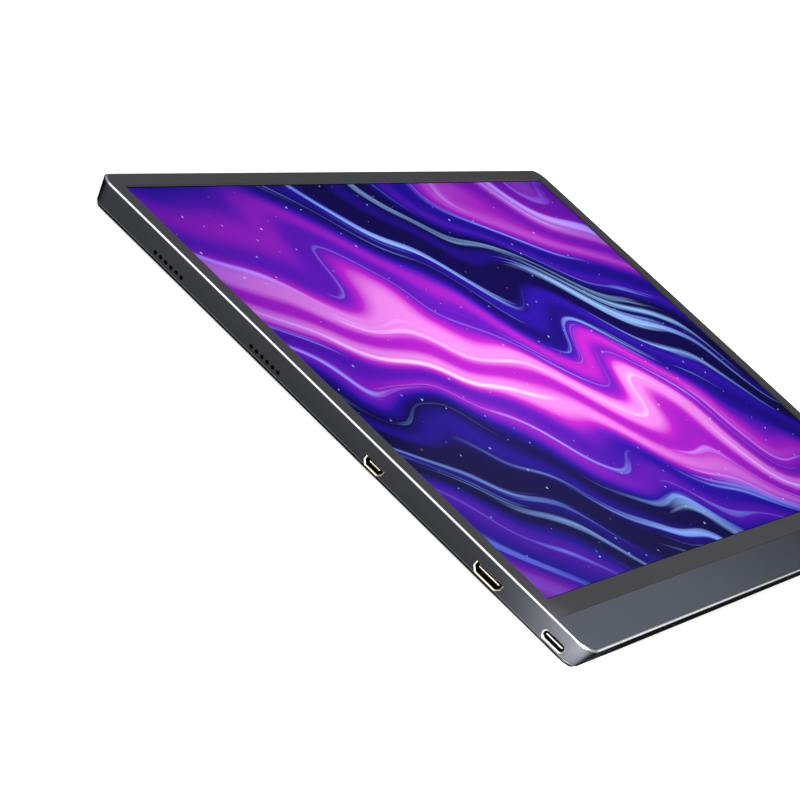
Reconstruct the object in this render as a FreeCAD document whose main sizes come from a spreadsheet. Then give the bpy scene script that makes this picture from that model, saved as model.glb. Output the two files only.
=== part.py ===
# Slim portable monitor, lying on its back with the screen up.
# X runs along the screen's width, Y up its height and Z out of it.
# The origin is the middle of the back face, on the surface that the monitor rests on.

import FreeCAD
import Part
import Sketcher
import math
import os
import re
from collections import namedtuple

# Driving dimensions in millimetres and degrees, one cell each in the sheet.
SIZES = {
    # lit area of the screen, and its distance to the widest line of the case
    "display_width": 344.16,
    "display_height": 193.59,
    "side_border": 8.72,
    "top_border": 6.85,
    "bottom_border": 23.66,
    # machined case
    "corner_radius": 6.6,
    "rim_chamfer": 0.6,
    "rim_land": 0.35,
    "wall_draft": 2.35,
    "back_chamfer_run": 0.95,
    "back_chamfer_rise": 1.2,
    "wall_thickness": 1.2,
    "floor_thickness": 1.0,
    "inner_depth": 5.26,
    # moulded bezel and the metal strip below the screen
    "bezel_lip": 0.7,
    "bezel_step": 0.5,
    "bezel_lip_angle": 28,
    "seam_gap": 0.1,
    "opening_margin": 0.35,
    "chin_height": 15.6,
    "chin_thickness": 0.5,
    "tape_thickness": 0.1,
    "tape_inset": 0.35,
    "chin_tape_inset": 2.0,
    # layers of the screen, front to back
    "gasket_thickness": 0.1,
    "gasket_inset": 0.2,
    "gasket_reveal": 0.9,
    "polariser_thickness": 0.12,
    "rear_polariser_margin": 0.4,
    "glass_thickness": 0.4,
    "glass_border": 1.8,
    "glass_fit": 0.3,
    "tft_ledge": 4.0,
    "frame_ledge": 0.22,
    "frame_wall": 0.6,
    "frame_fit": 0.05,
    "frame_window_margin": 0.7,
    "frame_drop": 0.2,
    "film_thickness": 0.13,
    "film_clearance": 0.06,
    "guide_thickness": 0.5,
    "guide_border": 1.1,
    "guide_fit": 0.1,
    "reflector_thickness": 0.15,
    "tray_sheet": 0.3,
    "panel_clearance": 0.4,
    "panel_room": 0.3,
    "panel_tape_thickness": 0.2,
    # row of light sources below the light guide
    "led_count": 24,
    "led_length": 3.0,
    "led_depth": 0.8,
    "led_height": 0.5,
    "led_flex_width": 2.8,
    "led_flex_thickness": 0.12,
    # drive board in the foot of the screen panel, and its films
    "drive_board_width": 250.0,
    "drive_board_height": 9.0,
    "drive_board_thickness": 0.6,
    "drive_board_inset": 1.2,
    "drive_chip_height": 0.8,
    "drive_plug_width": 22.0,
    "drive_plug_depth": 5.0,
    "drive_plug_drop": 0.6,
    "drive_plug_from_end": 65.0,
    "drive_plug_fit": 0.5,
    "driver_film_count": 6,
    "driver_film_width": 24.0,
    "driver_film_thickness": 0.1,
    "driver_film_seat": 1.5,
    # ribs under the screen panel
    "rib_count": 4,
    "rib_length": 220.0,
    "rib_width": 4.0,
    "rib_margin": 18.0,
    "rib_foot": 34.0,
    "rib_tape_inset": 0.5,
    # boards, bosses and screws
    "boss_height": 1.7,
    "boss_width": 3.8,
    "pilot_diameter": 1.6,
    "screw_shank": 1.4,
    "screw_head": 3.0,
    "screw_head_height": 0.7,
    "screw_tip_gap": 0.3,
    "screw_hole": 1.8,
    "board_thickness": 0.8,
    "board_edge_gap": 0.6,
    "board_end_gap": 2.0,
    "board_top_margin": 11.0,
    "board_screw_inset": 3.6,
    "main_board_width": 40.0,
    "power_board_width": 27.0,
    "chip_height": 1.1,
    "coil_height": 1.5,
    "plug_height": 1.4,
    "shield_width": 24.0,
    "shield_length": 26.0,
    "shield_height": 1.7,
    "shield_sheet": 0.2,
    "shield_slot_length": 14.0,
    "shield_slot_width": 1.2,
    "shield_slot_pitch": 4.0,
    # flat cables
    "flat_cable_thickness": 0.2,
    "flat_cable_rise": 0.5,
    "flat_cable_slope": 6.0,
    "flat_plug_depth": 3.5,
    "link_cable_width": 8.0,
    # sockets: heights of their middles over the case's bottom edge and back face
    "mouth_proud": 0.1,
    "cutout_gap": 0.15,
    "notch_gap": 0.15,
    "socket_fit": 0.05,
    "wing_length": 1.6,
    "wing_depth": 2.0,
    "wing_thickness": 0.3,
    "wing_from_mouth": 3.6,
    "insulator_length": 1.8,
    "tongue_setback": 0.8,
    "oval_from_bottom": 12.0,
    "oval_level": 3.3,
    "oval_width": 9.2,
    "oval_height": 3.3,
    "oval_wall": 0.32,
    "oval_depth": 7.4,
    "oval_tongue_width": 6.7,
    "oval_tongue_height": 0.7,
    "video_from_bottom": 40.6,
    "video_level": 3.15,
    "video_width": 11.6,
    "video_height": 3.5,
    "video_corner": 1.6,
    "video_wall": 0.35,
    "video_depth": 7.6,
    "video_tongue_width": 8.6,
    "video_tongue_height": 0.6,
    "video_tongue_lift": 0.45,
    "video_contacts": 9,
    "device_from_bottom": 91.0,
    "device_level": 2.75,
    "device_width": 7.9,
    "device_height": 3.0,
    "device_corner": 1.3,
    "device_wall": 0.3,
    "device_depth": 5.8,
    "device_tongue_width": 4.6,
    "device_tongue_height": 0.5,
    "device_tongue_lift": 0.35,
    "device_contacts": 5,
    "contact_width": 0.36,
    "contact_thickness": 0.1,
    # rocker keys in the right wall
    "upper_rocker_from_bottom": 94.25,
    "lower_rocker_from_bottom": 47.65,
    "slot_length": 18.6,
    "slot_height": 2.1,
    "key_end_gap": 0.3,
    "key_side_gap": 0.12,
    "key_proud": 0.55,
    "key_edge": 0.25,
    "key_flange_overlap": 0.9,
    "key_flange_height": 2.5,
    "key_flange_thickness": 0.4,
    "key_flange_gap": 0.35,
    "pivot_from_wall": 1.8,
    "pin_diameter": 0.9,
    "pin_play": 0.05,
    "hub_height": 1.1,
    "hub_width": 2.4,
    "hub_back": 0.7,
    "ear_gap": 0.1,
    "ear_thickness": 0.35,
    "bracket_width": 4.6,
    "bracket_back": 2.2,
    "bracket_post": 0.9,
    "bracket_front": 0.8,
    "bracket_headroom": 0.16,
    "nub_offset": 6.5,
    "nub_width": 1.4,
    "nub_height": 1.2,
    "nub_reach": 0.3,
    "nub_gap": 0.25,
    "tact_width": 4.0,
    "tact_depth": 3.2,
    "plunger_width": 1.3,
    "plunger_length": 0.5,
    # speakers behind the drilled groups in both side walls
    "speaker_spacing": 45.4,
    "speaker_pair_drop": 1.125,
    "speaker_hole_level": 3.0,
    "speaker_hole": 1.5,
    "speaker_hole_pitch": 2.47,
    "speaker_length": 25.0,
    "speaker_depth": 14.0,
    "speaker_height": 3.4,
    "speaker_corner": 1.2,
    "speaker_wall": 0.8,
    "speaker_step": 0.9,
    "speaker_base": 0.6,
    "speaker_chamber": 2.1,
    "speaker_gasket": 0.4,
    "port_margin": 0.6,
    "port_height": 1.9,
    "gasket_width": 0.9,
    "cone_rim": 0.3,
    "cone_fit": 0.15,
    "cone_dish": 0.5,
    "cone_surround": 1.4,
    "cone_slope": 30,
    "yoke_thickness": 0.4,
    "yoke_inset": 0.4,
    "magnet_margin": 3.0,
    "magnet_height": 0.35,
    # speaker leads along the floor
    "lead_width": 1.6,
    "lead_thickness": 0.7,
    "lead_run": 5.0,
    "lead_spacing": 2.4,
    "lead_bend": 4.0,
    "lead_plug_width": 7.5,
    "lead_plug_depth": 3.0,
    "lead_plug_height": 1.5,
}

# Places and sizes worked out from the driving dimensions.
PLACES = {
    "half_width": "display_width / 2 + side_border",
    "half_height": "(display_height + top_border + bottom_border) / 2",
    "display_side": "display_width / 2",
    "display_top": "half_height - top_border",
    "display_bottom": "display_top - display_height",
    # levels from the floor of the case up to the front face
    "tray_under": "floor_thickness + inner_depth",
    "tray_top": "tray_under + tray_sheet",
    "guide_under": "tray_top + reflector_thickness",
    "film_under": "guide_under + guide_thickness",
    "film_top": "film_under + 3 * film_thickness",
    "frame_ledge_under": "film_top + film_clearance",
    "tft_under": "frame_ledge_under + frame_ledge",
    "tft_top": "tft_under + glass_thickness",
    "colour_glass_top": "tft_top + glass_thickness",
    "screen_top": "colour_glass_top + polariser_thickness",
    "lip_under": "screen_top + gasket_thickness",
    "thickness": "lip_under + bezel_lip",
    "bezel_thickness": "bezel_lip + bezel_step",
    "bezel_under": "thickness - bezel_thickness",
    "ledge_level": "bezel_under - tape_thickness",
    "frame_top": "colour_glass_top - frame_drop",
    "tray_rim": "frame_top - frame_drop",
    "rib_top": "tray_under - panel_tape_thickness",
    "board_under": "floor_thickness + boss_height",
    "board_top": "board_under + board_thickness",
    # outlines of the case, its cavity and the front
    "wall_rise": "thickness - rim_chamfer - back_chamfer_rise",
    "wall_slope": "wall_draft / wall_rise",
    "cavity_side": "half_width - wall_draft - wall_thickness",
    "cavity_end": "half_height - wall_draft - wall_thickness",
    "cavity_radius": "corner_radius - wall_draft - wall_thickness",
    "bezel_side": "half_width - rim_chamfer - rim_land - seam_gap",
    "bezel_end": "half_height - rim_chamfer - rim_land - seam_gap",
    "bezel_radius": "corner_radius - rim_chamfer - rim_land - seam_gap",
    "chin_seam": "chin_height - half_height",
    "chin_edge": "chin_seam - seam_gap",
    # outlines of the screen's layers
    "glass_side": "display_side + glass_border",
    "frame_side": "glass_side + glass_fit + frame_wall",
    "panel_side": "frame_side + frame_fit + tray_sheet",
    "panel_end": "cavity_end - panel_clearance",
    "frame_end": "panel_end - tray_sheet - frame_fit",
    "glass_end": "frame_end - frame_wall - glass_fit",
    "glass_foot": "display_bottom - glass_border",
    "tft_foot": "glass_foot - tft_ledge",
    "frame_foot": "tft_foot - glass_fit",
    "guide_side": "display_side + guide_border",
    "guide_end": "display_top + min(guide_border; glass_end - display_top)",
    "guide_foot": "display_bottom - guide_border",
    "led_foot": "guide_foot - guide_fit - led_flex_width",
    "drive_low": "-panel_end + tray_sheet + drive_board_inset",
    "drive_high": "drive_low + drive_board_height",
    "drive_top": "tray_top + drive_board_thickness",
    "drive_plug_level": "tray_under - drive_plug_drop",
    "drive_plug_place": "drive_plug_from_end - drive_board_width / 2",
    "drive_plug_low": "drive_plug_place - drive_plug_width / 2",
    "drive_plug_high": "drive_plug_place + drive_plug_width / 2",
    # places up the height of the case
    "oval_place": "oval_from_bottom - half_height",
    "video_place": "video_from_bottom - half_height",
    "device_place": "device_from_bottom - half_height",
    "upper_rocker_place": "upper_rocker_from_bottom - half_height",
    "lower_rocker_place": "lower_rocker_from_bottom - half_height",
    "socket_mouth": "half_width - wall_draft + mouth_proud",
    "wall_reach": "wall_draft + wall_thickness + rim_chamfer",
    # boards
    "board_outer": "cavity_side - board_edge_gap",
    "main_inner": "board_outer - main_board_width",
    "power_inner": "board_outer - power_board_width",
    "board_low": "board_end_gap - cavity_end",
    "main_high": "device_place + board_top_margin",
    "power_high": "upper_rocker_place + board_top_margin",
    # the pair of speakers a side shares the free wall above the boards
    "speaker_middle": "(power_high + half_height) / 2 - speaker_pair_drop",
    "upper_speaker_place": "speaker_middle + speaker_spacing / 2",
    "lower_speaker_place": "speaker_middle - speaker_spacing / 2",
    "link_place": "(video_place + device_place) / 2",
    "display_cable_place": "(drive_low + drive_high) / 2",
    # rocker keys
    "pivot_out": "cavity_side - pivot_from_wall",
    "ear_reach": "hub_height / 2 + ear_gap + ear_thickness",
    "rocker_level": "tray_under - bracket_headroom - ear_reach",
    "key_length": "slot_length - 2 * key_end_gap",
    "key_height": "slot_height - 2 * key_side_gap",
    "key_flange_front": "pivot_from_wall - key_flange_gap",
    "key_flange_back": "key_flange_front - key_flange_thickness",
    "wall_face_at_key": "half_width - wall_draft + (rocker_level - back_chamfer_rise) * wall_slope",
    "key_face": "wall_face_at_key - pivot_out + key_proud",
    "tact_front": "pivot_out - nub_reach - nub_gap - plunger_length",
    # speakers
    "speaker_front": "cavity_side - speaker_gasket",
    "speaker_inner": "speaker_front - speaker_depth",
    "port_half": "2.5 * speaker_hole_pitch + speaker_hole / 2 + port_margin",
    "lead_level": "floor_thickness + lead_thickness / 2",
}

Circle = namedtuple("Circle", "x y diameter")

LEFT = -1
RIGHT = 1
SIDES = {"left": LEFT, "right": RIGHT}
SPEAKER_ROWS = {"upper": "upper_speaker_place", "lower": "lower_speaker_place"}
ROCKERS = {"upper": "upper_rocker_place", "lower": "lower_rocker_place"}
HOLES_IN_GROUP = 6

doc = FreeCAD.newDocument("portable_monitor")
sheet = doc.addObject("Spreadsheet::Sheet", "Sizes")
for row, (alias, value) in enumerate(SIZES.items(), start=1):
    sheet.set(f"A{row}", alias)
    sheet.set(f"B{row}", str(value))
    sheet.setAlias(f"B{row}", alias)
doc.recompute()

sub_parts = []
cuts = []


def expression(text):
    """Write out a size or place in terms of the sheet's cells."""
    def swap(match):
        word = match.group(0)
        if word in SIZES:
            return f"Sizes.{word}"
        if word in PLACES:
            return f"({expression(PLACES[word])})"
        return word
    return re.sub(r"[a-z][a-z_0-9]*", swap, str(text))


def number(text):
    """Present value of a size or place."""
    return float(sheet.evalExpression(expression(text)))


def bind(thing, name, text):
    """Tie a property of a document object to the sheet."""
    thing.setExpression(name, expression(text))


def place(thing, x, y, z):
    """Tie the placement of a sub-part to the sheet."""
    bind(thing, "Placement.Base.x", x)
    bind(thing, "Placement.Base.y", y)
    bind(thing, "Placement.Base.z", z)


def new_body(label, x="0", y="0", z="0"):
    """Start a sub-part that is built from sketches, at its place in the monitor."""
    body = doc.addObject("PartDesign::Body", label)
    body.Label = label
    place(body, x, y, z)
    sub_parts.append(body)
    return body


def plate(label, x_low, x_high, y_low, y_high, z_low, z_high):
    """Flat rectangular sub-part between six planes."""
    box = doc.addObject("Part::Box", label)
    box.Label = label
    bind(box, "Length", f"({x_high}) - ({x_low})")
    bind(box, "Width", f"({y_high}) - ({y_low})")
    bind(box, "Height", f"({z_high}) - ({z_low})")
    place(box, x_low, y_low, z_low)
    sub_parts.append(box)
    return box


def span(side, near, far):
    """Low and high X for a stretch measured outwards on the right side, mirrored on the left."""
    if side == RIGHT:
        return f"({near})", f"({far})"
    return f"-({far})", f"-({near})"


def box_loop(x_low, x_high, y_low, y_high):
    """Rectangle, anticlockwise."""
    return [(x_low, y_low), (x_high, y_low), (x_high, y_high), (x_low, y_high)]


def round_loop(x_low, x_high, y_low, y_high, radius):
    """Rectangle with rounded corners, anticlockwise."""
    return [
        (f"{x_low} + ({radius})", y_low),
        (f"{x_high} - ({radius})", y_low, radius),
        (x_high, f"{y_low} + ({radius})"),
        (x_high, f"{y_high} - ({radius})", radius),
        (f"{x_high} - ({radius})", y_high),
        (f"{x_low} + ({radius})", y_high, radius),
        (x_low, f"{y_high} - ({radius})"),
        (x_low, f"{y_low} + ({radius})", radius),
    ]


def oval_loop(length, height, x="0", y="0"):
    """Bar with half-round ends, each end drawn as two quarter arcs."""
    radius = f"({height}) / 2"
    run = f"(({length}) - ({height})) / 2"
    return [
        (f"{x} - {run}", f"{y} - {radius}"),
        (f"{x} + {run}", f"{y} - {radius}", radius),
        (f"{x} + ({length}) / 2", y, radius),
        (f"{x} + {run}", f"{y} + {radius}"),
        (f"{x} - {run}", f"{y} + {radius}", radius),
        (f"{x} - ({length}) / 2", y, radius),
    ]


def trapezoid_loop(width, height, corner, grow, x="0", y="0"):
    """Socket outline with its two lower corners cut at 45 degrees, moved out by grow."""
    side = f"({width}) / 2 + ({grow})"
    foot = f"({width}) / 2 - ({corner}) + (sqrt(2) - 1) * ({grow})"
    high = f"({height}) / 2 + ({grow})"
    knee = f"({height}) / 2 - ({corner}) + (sqrt(2) - 1) * ({grow})"
    return [
        (f"{x} - ({foot})", f"{y} - ({high})"),
        (f"{x} + {foot}", f"{y} - ({high})"),
        (f"{x} + {side}", f"{y} - ({knee})"),
        (f"{x} + {side}", f"{y} + {high}"),
        (f"{x} - ({side})", f"{y} + {high}"),
        (f"{x} - ({side})", f"{y} - ({knee})"),
    ]


def arc_between(start, end, radius):
    """Arc of at most a half turn, anticlockwise from start to end."""
    chord = end - start
    lift = math.sqrt(max(radius ** 2 - chord.Length ** 2 / 4, 0))
    left = FreeCAD.Vector(-chord.y, chord.x, 0).normalize()
    centre = (start + end) / 2 + left * lift
    first = math.atan2(start.y - centre.y, start.x - centre.x)
    last = math.atan2(end.y - centre.y, end.x - centre.x)
    circle = Part.Circle(centre, FreeCAD.Vector(0, 0, 1), radius)
    return Part.ArcOfCircle(circle, first, last if last > first else last + 2 * math.pi)


def draw(sketch, loops):
    """Draw closed outlines whose corners, radii and diameters are all bound to the sheet."""
    geometry = []
    rules = []
    bonds = {}

    def hold(kind, index, point, text):
        bonds[len(rules)] = text
        rules.append(Sketcher.Constraint(kind, -1, 1, index, point, number(text)))

    def measure(kind, index, text):
        bonds[len(rules)] = text
        rules.append(Sketcher.Constraint(kind, index, number(text)))

    for loop in loops:
        first = len(geometry)
        if isinstance(loop, Circle):
            middle = FreeCAD.Vector(number(loop.x), number(loop.y), 0)
            geometry.append(Part.Circle(middle, FreeCAD.Vector(0, 0, 1), number(loop.diameter) / 2))
            hold("DistanceX", first, 3, loop.x)
            hold("DistanceY", first, 3, loop.y)
            measure("Diameter", first, loop.diameter)
            continue
        points = [FreeCAD.Vector(number(corner[0]), number(corner[1]), 0) for corner in loop]
        for step, corner in enumerate(loop):
            follower = (step + 1) % len(loop)
            index = first + step
            if len(corner) == 3:
                geometry.append(arc_between(points[step], points[follower], number(corner[2])))
                measure("Radius", index, corner[2])
            else:
                geometry.append(Part.LineSegment(points[step], points[follower]))
            rules.append(Sketcher.Constraint("Coincident", index, 2, first + follower, 1))
            hold("DistanceX", index, 1, corner[0])
            hold("DistanceY", index, 1, corner[1])
    sketch.addGeometry(geometry, False)
    sketch.addConstraint(rules)
    for index, text in bonds.items():
        bind(sketch, f"Constraints[{index}]", text)


def new_sketch(body, plane, level, *loops):
    """Sketch on one of the body's own planes, moved along that plane's normal."""
    support = next(item for item in body.Origin.OriginFeatures if item.Role == plane)
    sketch = body.newObject("Sketcher::SketchObject", f"{body.Name}_outline")
    sketch.AttachmentSupport = [(support, "")]
    sketch.MapMode = "FlatFace"
    bind(sketch, "AttachmentOffset.Base.z", level)
    draw(sketch, loops)
    return sketch


def extrude(body, sketch, length, back=False, both=False):
    """Add the sketch's outline, along its normal, against it, or half each way."""
    pad = body.newObject("PartDesign::Pad", f"{body.Name}_pad")
    pad.Profile = sketch
    pad.Reversed = back
    if both:
        pad.SideType = "Symmetric"
    bind(pad, "Length", length)
    return pad


def cut(body, sketch, length, back=False, both=False):
    """Take the sketch's outline away, against its normal unless back is set."""
    pocket = body.newObject("PartDesign::Pocket", f"{body.Name}_pocket")
    pocket.Profile = sketch
    pocket.Reversed = back
    if both:
        pocket.SideType = "Symmetric"
    bind(pocket, "Length", length)
    cuts.append(pocket)
    return pocket


def repeat(body, feature, sketch, axis, length, count):
    """Repeat a feature in a row along one of its sketch's axes."""
    row = body.newObject("PartDesign::LinearPattern", f"{body.Name}_row")
    row.Originals = [feature]
    row.Direction = (sketch, [axis])
    bind(row, "Length", length)
    bind(row, "Occurrences", count)
    body.Tip = row
    return row


def case_loop(inset):
    """Rounded outline of the case, moved in from its widest line."""
    return round_loop(f"-half_width + {inset}", f"half_width - ({inset})",
                      f"-half_height + {inset}", f"half_height - ({inset})",
                      f"corner_radius - ({inset})")


def main_board_screws():
    """Screw places of the main board: one at its upper inner corner and one between the sockets."""
    inner = "-main_inner - board_screw_inset"
    outer = "-board_outer + board_screw_inset"
    return [(inner, "main_high - board_screw_inset"), (outer, "(oval_place + video_place) / 2")]


def power_board_screws():
    """Screw places of the power board: one at its lower inner corner and one between the keys."""
    inner = "power_inner + board_screw_inset"
    outer = "board_outer - board_screw_inset"
    return [(inner, "board_low + board_screw_inset"),
            (outer, "(upper_rocker_place + lower_rocker_place) / 2")]


def screw_places():
    return main_board_screws() + power_board_screws()


def rib_places():
    """Middles of the ribs, evenly spaced up the case."""
    low = "-cavity_end + rib_foot"
    step = "(2 * cavity_end - rib_foot - rib_margin) / (rib_count - 1)"
    return [f"{low} + {index} * {step}" for index in range(int(number("rib_count")))]


def speaker_hole_places():
    """Middles of the drilled holes up one side wall."""
    middle = (HOLES_IN_GROUP - 1) / 2
    return [f"{row} + ({index - middle}) * speaker_hole_pitch"
            for row in SPEAKER_ROWS.values() for index in range(HOLES_IN_GROUP)]


def oval_cutout(y):
    return oval_loop("oval_width + 2 * cutout_gap", "oval_height + 2 * cutout_gap", y, "oval_level")


def make_rear_shell():
    """Tray with sloped walls, a cut rim at the front and a chamfer round the back."""
    body = new_body("rear_shell")
    steps = [("0", "wall_draft + back_chamfer_run"), ("back_chamfer_rise", "wall_draft"),
             ("thickness - rim_chamfer", "0"), ("thickness", "rim_chamfer")]
    sections = [new_sketch(body, "XY_Plane", level, case_loop(inset)) for level, inset in steps]
    form = body.newObject("PartDesign::AdditiveLoft", "rear_shell_form")
    form.Profile = sections[0]
    form.Sections = sections[1:]
    form.Ruled = True
    cavity = new_sketch(body, "XY_Plane", "thickness", case_loop("wall_draft + wall_thickness"))
    cut(body, cavity, "thickness - floor_thickness")
    seat = new_sketch(body, "XY_Plane", "thickness", case_loop("rim_chamfer + rim_land"))
    cut(body, seat, "thickness - ledge_level")
    ribs = [box_loop("-rib_length / 2", "rib_length / 2", f"{y} - rib_width / 2", f"{y} + rib_width / 2")
            for y in rib_places()]
    extrude(body, new_sketch(body, "XY_Plane", "floor_thickness", *ribs), "rib_top - floor_thickness")
    bosses = [box_loop(f"{x} - boss_width / 2", f"{x} + boss_width / 2",
                       f"{y} - boss_width / 2", f"{y} + boss_width / 2") for x, y in screw_places()]
    extrude(body, new_sketch(body, "XY_Plane", "floor_thickness", *bosses), "boss_height")
    pilots = [Circle(x, y, "pilot_diameter") for x, y in screw_places()]
    cut(body, new_sketch(body, "XY_Plane", "board_under", *pilots), "boss_height")
    holes = [Circle(y, "speaker_hole_level", "speaker_hole") for y in speaker_hole_places()]
    left = [oval_cutout("oval_place"),
            trapezoid_loop("video_width", "video_height", "video_corner", "cutout_gap",
                           "video_place", "video_level"),
            trapezoid_loop("device_width", "device_height", "device_corner", "cutout_gap",
                           "device_place", "device_level")]
    right = [oval_cutout("oval_place")]
    right += [oval_loop("slot_length", "slot_height", y, "rocker_level") for y in ROCKERS.values()]
    cut(body, new_sketch(body, "YZ_Plane", "-cavity_side + rim_chamfer", *left, *holes), "wall_reach")
    cut(body, new_sketch(body, "YZ_Plane", "cavity_side - rim_chamfer", *right, *holes), "wall_reach",
        back=True)


def make_front():
    """Moulded bezel with a thin sloped lip, the metal strip in its recess, and their tapes."""
    body = new_body("front_bezel")
    outline = round_loop("-bezel_side", "bezel_side", "-bezel_end", "bezel_end", "bezel_radius")
    extrude(body, new_sketch(body, "XY_Plane", "bezel_under", outline), "bezel_thickness")
    relief = box_loop("-panel_side - panel_room", "panel_side + panel_room",
                      "frame_foot - panel_room", "panel_end + panel_room")
    cut(body, new_sketch(body, "XY_Plane", "bezel_under", relief), "bezel_step", back=True)
    recess = box_loop("-half_width", "half_width", "-half_height", "chin_seam")
    cut(body, new_sketch(body, "XY_Plane", "thickness", recess), "chin_thickness + tape_thickness")
    opening = box_loop("-display_side - opening_margin", "display_side + opening_margin",
                       "display_bottom - opening_margin", "display_top + opening_margin")
    window = cut(body, new_sketch(body, "XY_Plane", "lip_under", opening), "bezel_lip", back=True)
    bind(window, "TaperAngle", "bezel_lip_angle")

    strip = new_body("chin_strip")
    strip_outline = [
        ("-bezel_side + bezel_radius", "-bezel_end"),
        ("bezel_side - bezel_radius", "-bezel_end", "bezel_radius"),
        ("bezel_side", "-bezel_end + bezel_radius"),
        ("bezel_side", "chin_edge"),
        ("-bezel_side", "chin_edge"),
        ("-bezel_side", "-bezel_end + bezel_radius", "bezel_radius"),
    ]
    extrude(strip, new_sketch(strip, "XY_Plane", "thickness - chin_thickness", strip_outline),
            "chin_thickness")
    plate("chin_tape", "-bezel_side + chin_tape_inset", "bezel_side - chin_tape_inset",
          "-bezel_end + chin_tape_inset", "chin_edge - chin_tape_inset",
          "thickness - chin_thickness - tape_thickness", "thickness - chin_thickness")

    tape = new_body("bezel_tape")
    outer = round_loop("-bezel_side + tape_inset", "bezel_side - tape_inset",
                       "-bezel_end + tape_inset", "bezel_end - tape_inset", "bezel_radius - tape_inset")
    inner = round_loop("-cavity_side - tape_inset", "cavity_side + tape_inset",
                       "-cavity_end - tape_inset", "cavity_end + tape_inset", "cavity_radius + tape_inset")
    extrude(tape, new_sketch(tape, "XY_Plane", "ledge_level", outer, inner), "tape_thickness")

    gasket = new_body("panel_gasket")
    rim = box_loop("-glass_side + gasket_inset", "glass_side - gasket_inset",
                   "glass_foot + gasket_inset", "glass_end - gasket_inset")
    sight = box_loop("-display_side - gasket_reveal", "display_side + gasket_reveal",
                     "display_bottom - gasket_reveal", "display_top + gasket_reveal")
    extrude(gasket, new_sketch(gasket, "XY_Plane", "screen_top", rim, sight), "gasket_thickness")


def make_screen_glass():
    """Two glass sheets between their polarisers; the rear sheet's ledge carries the drivers."""
    plate("front_polariser", "-glass_side", "glass_side", "glass_foot", "glass_end",
          "colour_glass_top", "screen_top")
    plate("colour_filter_glass", "-glass_side", "glass_side", "glass_foot", "glass_end",
          "tft_top", "colour_glass_top")
    plate("tft_glass", "-glass_side", "glass_side", "tft_foot", "glass_end", "tft_under", "tft_top")
    plate("rear_polariser", "-display_side - rear_polariser_margin", "display_side + rear_polariser_margin",
          "display_bottom - rear_polariser_margin", "display_top + rear_polariser_margin",
          "tft_under - polariser_thickness", "tft_under")


def make_backlight():
    """Reflector, light guide and films in the pressed tray, with the row of light sources."""
    def layer(label, low, high):
        plate(label, "-guide_side", "guide_side", "guide_foot", "guide_end", low, high)

    layer("reflector_sheet", "tray_top", "guide_under")
    layer("light_guide", "guide_under", "film_under")
    layer("diffuser_film", "film_under", "film_under + film_thickness")
    films = new_body("prism_films")
    outline = box_loop("-guide_side", "guide_side", "guide_foot", "guide_end")
    extrude(films, new_sketch(films, "XY_Plane", "film_under + film_thickness", outline),
            "2 * film_thickness")

    bar = new_body("led_bar")
    flex = box_loop("-guide_side", "guide_side", "led_foot", "guide_foot - guide_fit")
    extrude(bar, new_sketch(bar, "XY_Plane", "tray_top", flex), "led_flex_thickness")
    pitch = "2 * guide_side / led_count"
    first = f"-guide_side + {pitch} / 2"
    source = new_sketch(bar, "XY_Plane", "tray_top + led_flex_thickness",
                        box_loop(f"{first} - led_length / 2", f"{first} + led_length / 2",
                                 "guide_foot - guide_fit - led_depth", "guide_foot - guide_fit"))
    led = extrude(bar, source, "led_height")
    repeat(bar, led, source, "H_Axis", f"2 * guide_side - {pitch}", "led_count")

    frame = new_body("panel_mould_frame")
    block = box_loop("-frame_side", "frame_side", "frame_foot", "frame_end")
    extrude(frame, new_sketch(frame, "XY_Plane", "tray_top", block), "frame_top - tray_top")
    pocket = box_loop("-glass_side - glass_fit", "glass_side + glass_fit",
                      "frame_foot - glass_fit", "glass_end + glass_fit")
    cut(frame, new_sketch(frame, "XY_Plane", "frame_top", pocket), "frame_top - tft_under")
    window = box_loop("-display_side - frame_window_margin", "display_side + frame_window_margin",
                      "display_bottom - frame_window_margin", "display_top + frame_window_margin")
    cut(frame, new_sketch(frame, "XY_Plane", "tft_under", window), "tft_under - tray_top")
    chamber = box_loop("-guide_side - guide_fit", "guide_side + guide_fit",
                       "led_foot - guide_fit", "guide_end + guide_fit")
    cut(frame, new_sketch(frame, "XY_Plane", "tray_top", chamber), "frame_ledge_under - tray_top",
        back=True)

    tray = new_body("panel_tray")
    sheet_outline = box_loop("-panel_side", "panel_side", "-panel_end", "panel_end")
    extrude(tray, new_sketch(tray, "XY_Plane", "tray_under", sheet_outline), "tray_rim - tray_under")
    inside = box_loop("-panel_side + tray_sheet", "panel_side - tray_sheet",
                      "-panel_end + tray_sheet", "panel_end - tray_sheet")
    cut(tray, new_sketch(tray, "XY_Plane", "tray_rim", inside), "tray_rim - tray_top")
    plug_window = box_loop("drive_plug_low - drive_plug_fit", "drive_plug_high + drive_plug_fit",
                           "display_cable_place - drive_plug_depth / 2 - drive_plug_fit",
                           "display_cable_place + drive_plug_depth / 2 + drive_plug_fit")
    cut(tray, new_sketch(tray, "XY_Plane", "tray_top", plug_window), "tray_sheet")

    tapes = new_body("panel_tapes")
    half = "rib_width / 2 - rib_tape_inset"
    strips = [box_loop("-rib_length / 2 + rib_tape_inset", "rib_length / 2 - rib_tape_inset",
                       f"{y} - ({half})", f"{y} + {half}") for y in rib_places()]
    extrude(tapes, new_sketch(tapes, "XY_Plane", "rib_top", *strips), "panel_tape_thickness")


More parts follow.
